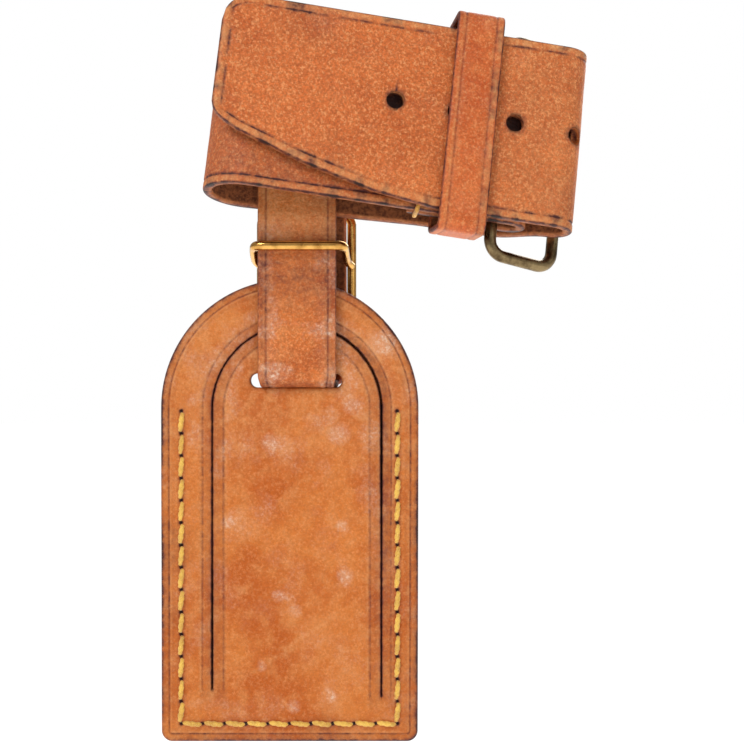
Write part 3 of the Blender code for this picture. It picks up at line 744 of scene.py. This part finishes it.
def scratches(x, z):
    """A few thin pale scratches low on the flap."""
    share = np.zeros(x.shape)
    for x0, z0, x1, z1, strength in SCRATCHES:
        run_x, run_z = x1 - x0, z1 - z0
        off_x, off_z = x - x0, z - z0
        t = np.clip((off_x * run_x + off_z * run_z) / (run_x ** 2 + run_z ** 2), 0, 1)
        away = np.hypot(off_x - t * run_x, off_z - t * run_z)
        share += strength * bell(away, 0.3) * np.sin(math.pi * np.clip(t, 0.02, 0.98))
    return share


def back_depth(x, z):
    """Depth of the back panel's outer face."""
    return BACK_HIGH.y - FACE_INSET - outer_drop(x, z, 0.24) - swell(x, z, 4)


def back_front(x, z):
    """Depth of the back panel's hidden face."""
    return BACK_LOW.y + 0.05 + round_edge(tag_inset(x, z), 0.35)


def back_wear_and_painted_light(x, z):
    """Wear, tone and painted slot highlight of the back panel's outer face."""
    dark, pale = edge_shares(x, z, 9)
    return layers(dark, pale, 0.8, 0)


def inner_finish(x, z):
    """The hidden faces are flesh side, dark at the burnished rim."""
    rim = 1 - smooth(tag_inset(x, z), 0.2, 0.9)
    return layers(rim, 0, 0, 1 - rim)


def make_panel(name, with_flap, front, back, material, front_face_wear_and_light, back_face_wear_and_light):
    """One of the tag's two panels."""
    loops, loose = panel_points(with_flap)
    x, z = grid_points(0.85).T
    free = (tag_inset(x, z) > 3.7) & (slot_reach(x, z) > 0.8) & (seam_distance(x, z) > 0.9)
    if with_flap:
        free &= (np.abs(np.abs(flap_side(x, z)) - 0.5) > 1) | (flap_end(x, z) > 0.6)
    points = np.concatenate([np.array(loose), np.stack([x, z], 1)[free]])
    x, z = points.T
    inside = (tag_inset(x, z) > 0.04) & (slot_reach(x, z) > 0.04)
    if with_flap:
        inside &= cut_distance(x, z) > 0.05

    def keep(x, z):
        kept = (tag_inset(x, z) > 0) & (slot_reach(x, z) > 0)
        if with_flap:
            kept &= (np.abs(flap_side(x, z)) > flap_gap(x, z)) | (flap_end(x, z) > 0)
        return kept

    flat, faces = flat_mesh(loops, [tuple(p) for p in points[inside]], keep)
    return thick_panel(name, flat, faces, front, back, material, front_face_wear_and_light, back_face_wear_and_light)


def stitch(start, end, face, out, radius, slant):
    """One stitch between two holes, standing out of a face that looks along -Y or +Y."""
    start, end = np.array(start), np.array(end)
    line = (end - start) / np.linalg.norm(end - start)
    across = np.array((-line[1], line[0]))
    points = []
    for t in np.linspace(0, 1, 25):
        place = start + (end - start) * (0.12 + 0.76 * t) + across * slant * (t - 0.5) * 2
        rise = (1 - abs(2 * t - 1) ** 5) * 0.78 - 0.55
        points.append((place[0], face + out * rise, place[1]))
    size = radius * (0.7 + 0.3 * np.sin(np.linspace(0, math.pi, 25)) ** 0.6)
    return tube(points, size, 14, ply=0.28, twist=2.1)


def seam_shape(face, out):
    """All the stitches that show on one face of the tag."""
    holes = seam_holes()
    parts = []
    for i in range(len(holes) - 1):
        wobble = noise.noise(Vector((i * 0.73, out, 2.1)))
        radius = 0.68 + 0.08 * wobble
        parts.append(stitch(holes[i], holes[i + 1], face, out, radius, (0.26 + 0.12 * wobble) * out))
    return join(parts)


def make_tag():
    """The tag's panels, card and threads."""
    front = make_panel("tag_front", True, front_depth, front_back, TAG_LEATHER, front_wear_and_painted_light, inner_finish)
    back = make_panel("tag_back", False, back_front, back_depth, BACK_LEATHER, inner_finish, back_wear_and_painted_light)
    stand_for(front, "tag", "front_panel")
    stand_for(back, "tag", "back_panel")
    front_seam = seam_shape(PANEL_LOW.y + FACE_INSET, -1)
    back_seam = seam_shape(BACK_HIGH.y - FACE_INSET, 1)
    add_piece("front_stitches", front_seam, THREAD, "tag", "saddle_thread_left_hand")
    add_piece("back_stitches", back_seam, THREAD, "tag", "saddle_thread_right_hand")
    card = frame["nodes"]["address_card"].data.materials
    card.clear()
    card.append(CARD)


# -------- leather strips

STRIP_EDGE = 0.55
INSETS = np.array((0, 0.05, 0.12, 0.24, 0.4, 0.6, 0.9, 1.2, 1.45, 1.65, 1.85, 2.05, 2.3, 2.8, 3.6))


def across_places(half, step):
    """Places across a strip, close together near its edges."""
    left = -half + INSETS
    middle = np.linspace(left[-1], -left[-1], max(2, int(round(-2 * left[-1] / step)) + 1))
    return np.concatenate([left, middle[1:-1], -left[::-1]])


def strip(name, path, side, out, low, high, thick, material, look):
    """A leather strip swept along a path.

    Path is its middle line, side the direction across it and out its grain side, one row each. Low
    and high are its two edges at each row. Look gives each face's rise in millimetres and its shares of
    wear and painted light and shade, from the distance along, the place across, the inset from the
    nearest edge, the distance to the nearest end, and 1 on the grain side or -1.
    """
    rows = len(path)
    travelled = travel(path)
    half = (high - low).max() / 2
    places = across_places(half, 1.1) / half
    wide = len(places)
    s = np.repeat(travelled[:, None], wide, 1)
    middle, reach = (high + low)[:, None] / 2, (high - low)[:, None] / 2
    t = middle + np.sign(places) * np.maximum(reach - (half - np.abs(places) * half), 0)
    small = np.abs(places) * half < half - INSETS[-1]
    t[:, small] = middle + (reach - INSETS[-1]) * (places[small] * half / (half - INSETS[-1]))
    inset = np.minimum(t - low[:, None], high[:, None] - t)
    ends = np.minimum(s, travelled[-1] - s)
    body = thick / 2 - round_edge(np.maximum(inset, 0), STRIP_EDGE) - round_edge(ends, STRIP_EDGE)
    body = np.maximum(body, 0.12)
    centre = path[:, None, :] + side[:, None, :] * t[:, :, None]
    verts, wear_and_painted_light = [], []
    for face in (1, -1):
        rise, shares = look(s, t, inset, ends, face)
        verts.append((centre + out[:, None, :] * (face * (body + rise))[:, :, None]).reshape(-1, 3))
        wear_and_painted_light.append(shares.reshape(-1, 4))
    under = rows * wide
    faces = []
    for i in range(rows - 1):
        for j in range(wide - 1):
            a = i * wide + j
            face = (a, a + 1, a + 1 + wide, a + wide)
            faces += [face, tuple(under + corner for corner in face[::-1])]
        for j, turn in ((0, 1), (wide - 1, -1)):
            a, d = i * wide + j, (i + 1) * wide + j
            faces.append((a, d, under + d, under + a)[::turn])
    for i, turn in ((0, -1), (rows - 1, 1)):
        for j in range(wide - 1):
            a = i * wide + j
            faces.append((a, a + 1, under + a + 1, under + a)[::turn])
    return build(name, np.concatenate(verts), faces, material, np.concatenate(wear_and_painted_light))


def right_of(points):
    """Unit directions to the right of a flat path."""
    ahead = unit(np.gradient(points, axis=0))
    return np.stack([ahead[:, 1], -ahead[:, 0]], 1)


def soften(values, turns):
    """Round the small kinks of a path or of its directions."""
    for _ in range(turns):
        values = np.concatenate([values[:1], (values[:-2] + 2 * values[1:-1] + values[2:]) / 4, values[-1:]])
    return values


def band_path():
    """Middle line of the band in U and D, from the tongue's tip to the sewn end."""
    bend_d = TONGUE_D + RIGHT_BEND_R
    path = [(TONGUE_TIP_U, TONGUE_D), (RIGHT_BEND_U, TONGUE_D)]
    path += arc((RIGHT_BEND_U, bend_d), RIGHT_BEND_R, -90, 90, 24)
    path += ease((RIGHT_BEND_U, bend_d + RIGHT_BEND_R), (26.6, WALL_NEAR_D), 24)
    path += [(8.6, WALL_NEAR_D)] + arc(LEFT_BEND, LEFT_BEND_R, 90 - WALL_SLOPE, 270, 36)
    path += [(FOLD_U, INNER_D)]
    path += arc((FOLD_U, (INNER_D + FOLD_D) / 2), (FOLD_D - INNER_D) / 2, -90, 90, 24)
    path += ease((23.1, FOLD_D), (16.1, SEWN_D), 16)
    return path + [(4.1, SEWN_D)]


def tongue_low(u):
    """Lower edge of the tongue: a blunt tip, then a slanting cut to the band's full width."""
    slant = np.interp(u, np.array((-45.2, -38.6, -22, -5.4, 9.5)),
                      np.array((-7.4, -10.9, -16.6, -20.7, -22.7)))
    return slant + 2.6 * (1 - dome((u - TONGUE_TIP_U) / 3.2))


def tongue_high(u):
    """Upper edge of the tongue, rounded at its tip."""
    return BAND_HALF - 7 * (1 - dome((u - TONGUE_TIP_U) / 7))


def band_look(s, t, inset, ends, face):
    """Creases, worn edges and slow waves of the handle band."""
    middle, travelled = resample(band_path(), BAND_STEP)
    u = np.interp(s, travelled, middle[:, 0])
    slow = ripple(s, t, 10, 0.055, 6 + face)
    fine = ripple(s, t, 10, 0.26, 8)
    broken = ripple(s, t, 10, 0.42, 9)
    drift = ripple(s, t * 0.1, 20, 0.05, 2)
    edge = np.minimum(inset, ends)
    slant = (1 - smooth(s, 54, 56)) * (t < 0)
    crease = edge - (2.1 + 0.35 * drift)
    rise = 0.09 * slow + 0.04 * fine
    wear = 1 - smooth(edge, 0.9, 2.5 + 1.3 * slow + 1 * slant)
    dark = 1.2 * (1 - smooth(edge, 0.1, 0.5)) + 0.8 * smooth(broken, 0, 0.45) * wear
    scuffed = 0.35 + 0.5 * (edge < 7) + 0.4 * smooth(slow, 0.2, 0.7)
    if face < 0:
        return rise, layers(dark * 0.5, wear * 0.4, scuffed, 0.2 + 0.8 * smooth(edge, 0.2, 0.9))
    rise -= 0.16 * bell(crease, 0.3)
    line = smooth(broken, -0.5, 0) * (1 - 0.75 * slant * smooth(u, -20, -4))
    dark += 1.25 * bell(crease, 0.26) * line + 0.3 * smooth(slow, 0.1, 0.7) * bell(edge - 5, 8)
    # The inner layer behind the tongue is made darker.
    inner = smooth(s, 150, 170)
    dark += 0.45 * inner * (1 - 0.6 * wear)
    for hole in range(HOLES):
        along = hole * HOLE_PITCH
        above = t - HOLE_W + hole * HOLE_FALL
        rim = np.hypot(s - FIRST_HOLE_S - along, above) - HOLE_R
        under = np.hypot(u - FIRST_HOLE_U - along, above)
        # Dark rims round the holes, and painted shade on the inner layer where it shows through each hole.
        dark += 0.8 * bell(rim, 0.6) + 1.25 * inner * (1 - smooth(under, 2.6, 3.4))
    nick = np.hypot(np.maximum(np.abs(t - HOLE_W - 3.4) - 1.4, 0), s - FIRST_HOLE_S)
    dark += 1 * bell(nick, 0.2)
    pale = 0.95 * wear * (0.6 + 0.7 * broken) + 0.2 * smooth(u, 21, 28) * (1 - inner)
    return rise, layers(dark, pale, scuffed, 0)


def make_band():
    """The handle band with its punched holes."""
    points, travelled = resample(band_path(), BAND_STEP)
    points = soften(points, 6)
    right = unit(soften(right_of(points), 4))
    tongue = travelled < 55
    low = np.where(tongue, tongue_low(points[:, 0]), -BAND_HALF)
    high = np.where(tongue, tongue_high(points[:, 0]), BAND_HALF)
    flat = np.zeros(len(points))
    path = to_world(np.stack([points[:, 0], points[:, 1], flat], 1))
    out = turned(np.stack([right[:, 0], right[:, 1], flat], 1))
    side = np.repeat(turned([(0, 0, 1)]), len(points), 0)
    band = strip("band", path, side, out, low, high, BAND_THICK, BAND_LEATHER, band_look)
    cutters = []
    for hole in range(HOLES):
        row = int(np.argmin(np.abs(travelled - FIRST_HOLE_S - hole * HOLE_PITCH)))
        middle = path[row] + side[row] * (HOLE_W - hole * HOLE_FALL)
        line = np.linspace(-1.6, 1.6, 4)[:, None] * out[row][None] + middle
        cutters.append(tube(line, HOLE_R, 28))
    punch(band, cutters)
    stand_for(band, "band", "handle_band")


def punch(piece, cutters):
    """Cut closed shapes out of a piece, for good."""
    verts, faces = join(cutters)
    # Near-black hole walls: dark cut edges with painted shade inside the holes.
    hole_wall_dark_and_shade = np.repeat([(1.7, 0, 0, 0)], len(verts), 0)
    tool = build("punch", verts, faces, piece.data.materials[0], hole_wall_dark_and_shade)
    step = piece.modifiers.new("punch", "BOOLEAN")
    step.operation = "DIFFERENCE"
    step.solver = "EXACT"
    step.object = tool
    bpy.context.view_layer.update()
    cut = bpy.data.meshes.new_from_object(piece.evaluated_get(bpy.context.evaluated_depsgraph_get()))
    piece.modifiers.clear()
    piece.data = cut
    bpy.data.objects.remove(tool)


def keeper_look(s, t, inset, ends, face):
    """Edge creases and a soft sheen of wear on the keeper."""
    slow = ripple(s, t, 50, 0.07, 11)
    broken = ripple(s, t, 50, 0.42, 12)
    right = (t > 0) * 1
    rise = 0.05 * slow - (0.13 * bell(inset - 2, 0.3) if face > 0 else 0)
    dark = 1.1 * (1 - smooth(inset, 0.1, 0.5)) + 0.6 * bell(inset - 2, 0.26)
    dark += 0.45 * smooth(slow, 0, 0.7) * bell(inset - 1, 1.2)
    dark += 0.5 * right * smooth(broken, 0.1, 0.5) * (inset < 1.9)
    pale = 0.9 * right * bell(inset - 1, 0.7) * (0.6 + 0.7 * broken)
    pale += 0.4 * (1 - right) * bell(inset - 1.4, 0.3) + 0.25 * bell(inset - 2.5, 0.25)
    flesh = 0 if face > 0 else smooth(inset, 0.2, 0.8)
    return rise, layers(dark, pale, 0.7, flesh)


def make_keeper():
    """The keeper loop and the seam that closes it inside the band."""
    (front, back), (low, high) = KEEPER_D, KEEPER_W
    loop = [(back, 0.25)] + rounded_corners((front, low), (back, high), 1.6, 8) + [(back, -0.25)]
    loop = [(d, w - KEEPER_SAG * (back - d) / (back - front) if w < 0 else w) for d, w in loop]
    points = soften(resample(loop, 0.5)[0], 4)
    right = right_of(points)
    zeros = np.zeros(len(points))
    path = to_world(np.stack([zeros + KEEPER_U, points[:, 0], points[:, 1]], 1))
    out = turned(np.stack([zeros, right[:, 0], right[:, 1]], 1))
    side = np.repeat(turned([(1, 0, 0)]), len(points), 0)
    half = zeros + KEEPER_HALF
    keeper = strip("keeper", path, side, out, -half, half, KEEPER_THICK, KEEPER_LEATHER, keeper_look)
    stand_for(keeper, "keeper", "band_keeper")
    lay = back + KEEPER_THICK / 2 + 0.2
    line = [(KEEPER_U + (i - 2) * 2, lay, 2 * (-1) ** i) for i in range(5)]
    seam = tube(to_world(resample(line, 0.4)[0]), 0.3, 10, ply=0.25, twist=2.5)
    add_piece("keeper_seam", seam, DARK_THREAD, "keeper", "keeper_stitching")


def make_fold_seam():
    """The thread that closes the band's fold and wraps over its lower edge."""
    front = INNER_D - BAND_THICK / 2 - 0.3
    back = SEWN_D + BAND_THICK / 2 + 0.3
    places = np.linspace(-20, 20, 8)
    low = -BAND_HALF - 0.35
    line = [(SEAM_U, back, places[0]), (SEAM_U - 0.4, back, low), (SEAM_U - 0.7, front, low),
            (SEAM_U - 0.2, front, places[0] - 0.8), (SEAM_U, back, places[0] + 0.3)]
    for i, w in enumerate(places[1:]):
        line += [(SEAM_U, front if i % 2 else back, w), (SEAM_U, back if i % 2 else front, w)]
    line = to_world(soften(resample(line, 0.35)[0], 2))
    seam = tube(line, 0.58, 12, ply=0.25, twist=1.9)
    add_piece("fold_seam", seam, DARK_THREAD, "band", "fold_stitching")


# -------- tag strap

def strap_path():
    """Middle line of the strap as (side, y, z), from its sewn end to its free tail."""
    bar_y, bar_z = BUCKLE_BAR[1], BUCKLE_BAR[2]
    fold = BUCKLE_WIRE + 0.35 + STRAP_THICK / 2
    tail_y = SEWN_Y + STRAP_THICK + 1.1
    over_y = bar_y + fold + STRAP_THICK + 0.35
    front_y, back_y = STRAP_Y
    sewn = [(SEWN_Y, -56.5)] + ease((SEWN_Y, -50), (bar_y + fold, -45), 10, 1)
    sewn += arc((bar_y, bar_z), fold, 0, 180, 20)
    shift = ease((1, -46), (0.5, -58), 8, 1)
    slot = arc((back_y - STRAP_TURN, STRAP_SLOT_Z + STRAP_TURN), STRAP_TURN, 0, -90, 8)
    slot += arc((front_y + STRAP_TURN, STRAP_SLOT_Z + STRAP_TURN), STRAP_TURN, 270, 180, 8)
    slot += ease((front_y, -26), (-0.95, -21.5), 8, 1)
    turn = arc(STRAP_TOP, STRAP_TOP_R, 165, 0, 20)
    back = ease((STRAP_TOP[0] + STRAP_TOP_R, 20), (back_y, -17), 24, 1)
    back += ease((back_y, -22), (over_y, -41), 16, 1)
    back += ease((over_y, -45), (tail_y, -52), 10, 1) + [(tail_y, -60)]
    path = [(1, y, z) for y, z in sewn] + [(share, back_y, z) for share, z in shift]
    path += [(0.5 * smooth(y, 0.6, 4.5) * (z < -50), y, z) for y, z in slot]
    path += [(i / (len(turn) - 1), y, z) for i, (y, z) in enumerate(turn)]
    path += [(1, y, z) for y, z in back]
    return [(STRAP_X[0] + (STRAP_X[1] - STRAP_X[0]) * share, y, z) for share, y, z in path]


def make_strap():
    """The strap, bent round the buckle bar and through the tag's slot, and its seam thread."""
    points, travelled = resample(strap_path(), 0.4)
    points = soften(points, 5)
    right = right_of(points[:, 1:])
    out = np.stack([np.zeros(len(points)), -right[:, 0], -right[:, 1]], 1)
    side = np.repeat([(1, 0, 0)], len(points), 0)
    depth, height = points[:, 1], points[:, 2]

    def look(s, t, inset, ends, face):
        y, z = (np.repeat(row[:, None], t.shape[1], 1) for row in (depth, height))
        front = y < 3
        slow = ripple(t, z, y, 0.08, 14)
        bands = ripple(t * 0.22, z, y * 0.3, 0.62, 15)
        wrinkled = bell(z + 36, 6.5) * front + 0.6 * bell(z + 52, 12)
        wrinkled = wrinkled * smooth(inset, 1.2, 3)
        rise = 0.07 * slow + 0.16 * wrinkled * bands
        dark = 0.75 * (1 - smooth(inset, 0, 0.4)) + 0.75 * bell(inset - 2, 0.28)
        # The second term is painted shade where the strap dips into the slot.
        dark += 0.45 * bell(inset - 1, 0.7) * smooth(slow, -0.5, 0.4) + 0.5 * bell(z - STRAP_SLOT_Z, 1)
        pale = 0.6 * bell(inset - 2.5, 0.22) + 0.3 * bell(inset - 1.45, 0.2)
        # Painted light: the front run is made paler above the bridge.
        pale += 0.4 * smooth(z, -31, -27) * front
        scuffed = 0.45 + 0.9 * smooth(-z, 31, 40) + 0.3 * bell(inset - 3, 1.5)
        if face < 0:
            return rise, layers(dark, pale, scuffed, smooth(inset, 0.2, 0.8), 1)
        rise -= 0.2 * bell(inset - 2, 0.26)
        # Darker below the bridge, and painted shade in the troughs of the wrinkles.
        dark += 0.32 * bell(z + 36, 7) + 0.35 * smooth(-bands, 0.1, 0.6) * wrinkled
        dark += 0.22 * bell(z + 38, 9) * front
        return rise, layers(dark, pale, scuffed, 0, 1)

    before = depth < 7.4
    half = np.where(before, STRAP_HALF, STRAP_HALF + 0.4)
    half = half - 0.5 * bell(height - STRAP_SLOT_Z, 1.1) * before
    half = half * (0.35 + 0.65 * dome((travelled[-1] - travelled) / 6))
    strap = strip("strap", points, side, out, -half, half, STRAP_THICK, STRAP_LEATHER, look)
    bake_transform(strap)
    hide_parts("tag_strap")
    front_y = STRAP_Y[1] - STRAP_THICK / 2 - 0.25
    back_y = SEWN_Y + STRAP_THICK / 2 + 0.2
    line = []
    for i in range(4):
        x = STRAP_X[1] + (i - 1.5) * 4
        line += [(x, y, STRAP_SEAM_Z) for y in ((back_y, front_y) if i % 2 == 0 else (front_y, back_y))]
    seam = tube(soften(resample(line, 0.35)[0], 2), 0.34, 12, ply=0.25, twist=2.3)
    add_piece("strap_seam", seam, DARK_THREAD, "tag", "strap_stitching")


# -------- metal

def rounded_loop(low, high, radius):
    """A rounded rectangle as a closed list of evenly spaced points."""
    points = rounded_corners(low, high, radius, 10)
    return resample(points + points[:1], 0.5)[0][:-1]


def hook_path(radius, rest, side):
    """A pin's wire: an open hook round its bar at the origin, then on to where it rests."""
    toward = math.atan2(rest[1], rest[0])
    leave = math.degrees(toward + side * math.acos(radius / math.hypot(*rest)))
    path = arc((0, 0), radius, leave + side * 275, leave, 30)
    line = np.array(rest) - np.array(path[-1])
    tip = np.array(rest) + line / np.linalg.norm(line) * 1.6
    return resample(path + [tuple(tip)], 0.4)[0]


# Smallest share of its radius that a pin has at its tip and at its hook
TIP_END = 0.245
HOOK_END = 0.447


def tapered(points, radius, last):
    """Wire radii that slim to a rounded tip at the end."""
    place = np.arange(len(points))
    tip, head = dome((place[-1] - place) / last), dome(place / 3)
    sizes = np.linspace(radius, radius * 0.86, len(points))
    return sizes * np.maximum(tip, TIP_END) * np.maximum(head, HOOK_END)


def worn_wire(points, radius, amount, seed):
    """Radii with the slight dents of an old wire."""
    return radius * (1 - amount * 0.5 * (1 + rough(points, 0.18, seed)))


def make_band_buckle():
    """The antique frame and its pin."""
    across = np.array(RIGHT_LEG) - np.array(LEFT_LEG)
    width = np.linalg.norm(across)
    loop = rounded_loop((0, FRAME_W[0]), (width, FRAME_W[1]), 3.9)
    way = across / width
    points = to_world([(LEFT_LEG[0] + way[0] * a, LEFT_LEG[1] + way[1] * a, w) for a, w in loop])
    wire = tube(points, worn_wire(points, 1.5, 0.06, 21), 22, closed=True)
    add_piece("band_frame", wire, OLD_BRASS, "band_buckle", "band_buckle_frame")
    path = hook_path(2.8, (across[0], across[1] + 3.7), -1)
    last_hole_w = HOLE_W - (HOLES - 1) * HOLE_FALL
    points = to_world([(LEFT_LEG[0] + u, LEFT_LEG[1] + d, last_hole_w) for u, d in path])
    wire = tube(points, tapered(points, 0.95, 5), 16)
    add_piece("band_pin", wire, OLD_BRASS, "band_pin", "band_buckle_pin")


def bridge_line(bar, bridge_y):
    """The bridge wire's middle line: from one leg of the frame, round the strap, to the other."""
    land_y, turn = bar[1] - BUCKLE_WIRE - 0.4, 2.2
    left, right = STRAP_X[0] - STRAP_HALF - 1.1, STRAP_X[0] + STRAP_HALF + 2.2
    near_y, side_y = land_y - 2, bridge_y + turn + 2
    land_z, near_z, side_z = (BRIDGE_Z - drop for drop in (4.4, 3.4, 1.3))
    bends = arc((left + turn, bridge_y + turn), turn, 200, 270, 8)
    bends += arc((right - turn, bridge_y + turn), turn, 270, 340, 8)
    line = [(bar[0] - BUCKLE_HALF_X, land_y, land_z), (left + 0.1, near_y, near_z), (left, side_y, side_z)]
    line += [(x, y, BRIDGE_Z - 0.02 * (y - bridge_y)) for x, y in bends] + [(right, side_y, side_z)]
    return line + [(right + 0.3, near_y, near_z), (bar[0] + BUCKLE_HALF_X, land_y, land_z)]


def make_strap_buckle():
    """The polished frame, its bridge wire and its pin."""
    bar = np.array(BUCKLE_BAR)
    loop = rounded_loop((-BUCKLE_HALF_X, 0), (BUCKLE_HALF_X, BUCKLE_TOP_Z - bar[2]), 2.5)
    wire = tube([(bar[0] + x, bar[1], bar[2] + z) for x, z in loop], BUCKLE_WIRE, 20, closed=True)
    add_piece("strap_frame", wire, BRASS, "tag", "strap_buckle_frame")
    bridge_y = STRAP_Y[0] - STRAP_THICK / 2 - 0.25 - BRIDGE_WIRE
    points = soften(resample(bridge_line(bar, bridge_y), 0.35)[0], 24)
    thin = 1 - 0.2 * smooth(points[:, 1], bridge_y + 0.5, bridge_y + 3)
    wire = tube(points, worn_wire(points, BRIDGE_WIRE, 0.04, 22) * thin, 20)
    add_piece("strap_bridge", wire, BRASS, "tag", "strap_buckle_bridge")
    path = hook_path(2.25, (2.35, BUCKLE_TOP_Z - bar[2]), 1)
    points = [(bar[0], bar[1] + y, bar[2] + z) for y, z in path]
    wire = tube(points, tapered(points, 0.8, 5), 16)
    add_piece("strap_pin", wire, BRASS, "strap_pin", "strap_buckle_pin")


# -------- stage

VIEW_CENTRE = (-5.5 * MM, -59 * MM)
VIEW_DISTANCE = 0.56
VIEW_WIDTH = 178.6 * MM
FLOOR_Z = -0.34
FLOOR_REACH = 12
WHITE = (1, 1, 1, 1)


def make_camera():
    """A level camera square to the tag's front."""
    data = bpy.data.cameras.new("camera")
    data.lens = data.sensor_width * VIEW_DISTANCE / VIEW_WIDTH
    camera = add_object("camera", data, (VIEW_CENTRE[0], -VIEW_DISTANCE, VIEW_CENTRE[1]))
    camera.rotation_euler = (math.pi / 2, 0, 0)
    bpy.context.scene.camera = camera


def add_light(name, place, size, power):
    """A soft square light that looks at the tag."""
    data = bpy.data.lights.new(name, "AREA")
    data.size = size
    data.energy = power
    light = add_object(name, data, place)
    aim = Vector((VIEW_CENTRE[0], 0, VIEW_CENTRE[1])) - Vector(place)
    light.rotation_euler = aim.to_track_quat("-Z", "Y").to_euler()


def make_world():
    """Bright studio surroundings, white behind the object and darker low down for the metal."""
    world = bpy.data.worlds.new("studio")
    bpy.context.scene.world = world
    world.use_nodes = True
    graph = Graph(world.node_tree, "Generated")
    height = graph.add("ShaderNodeSeparateXYZ", {0: graph.where}).outputs["Z"]
    glow = graph.span(height, -0.6, 0.9, 0.16, 0.6)
    seen = graph.add("ShaderNodeLightPath").outputs["Is Camera Ray"]
    strength = graph.add("ShaderNodeMix", {0: seen, 2: glow, 3: 1}, data_type="FLOAT").outputs[0]
    graph.feed(world.node_tree.nodes["Background"], {"Color": WHITE, "Strength": strength})


def make_floor():
    """A wide pale floor below the hanging tag."""
    pale, graph, shader = new_material("floor_paint")
    graph.feed(shader, {"Base Color": (0.93, 0.93, 0.93, 1), "Roughness": 0.9, "Emission Color": WHITE,
                        "Emission Strength": 0.55})
    mesh = bpy.data.meshes.new("floor")
    corners = [(x * FLOOR_REACH, y * FLOOR_REACH, FLOOR_Z) for x, y in ((-1, -1), (1, -1), (1, 1), (-1, 1))]
    mesh.from_pydata(corners, [], [(0, 1, 2, 3)])
    mesh.materials.append(pale)
    add_object("floor", mesh)


make_camera()
make_world()
make_floor()
add_light("key", (-0.5, -0.6, 0.65), 0.35, 5.4)
add_light("fill", (0.7, -0.7, 0.05), 0.8, 1)
add_light("back", (0.3, 0.8, 0.4), 0.7, 5)
bpy.context.scene.view_settings.view_transform = "Standard"

make_tag()
make_band()
make_keeper()
make_fold_seam()
make_strap()
make_band_buckle()
make_strap_buckle()
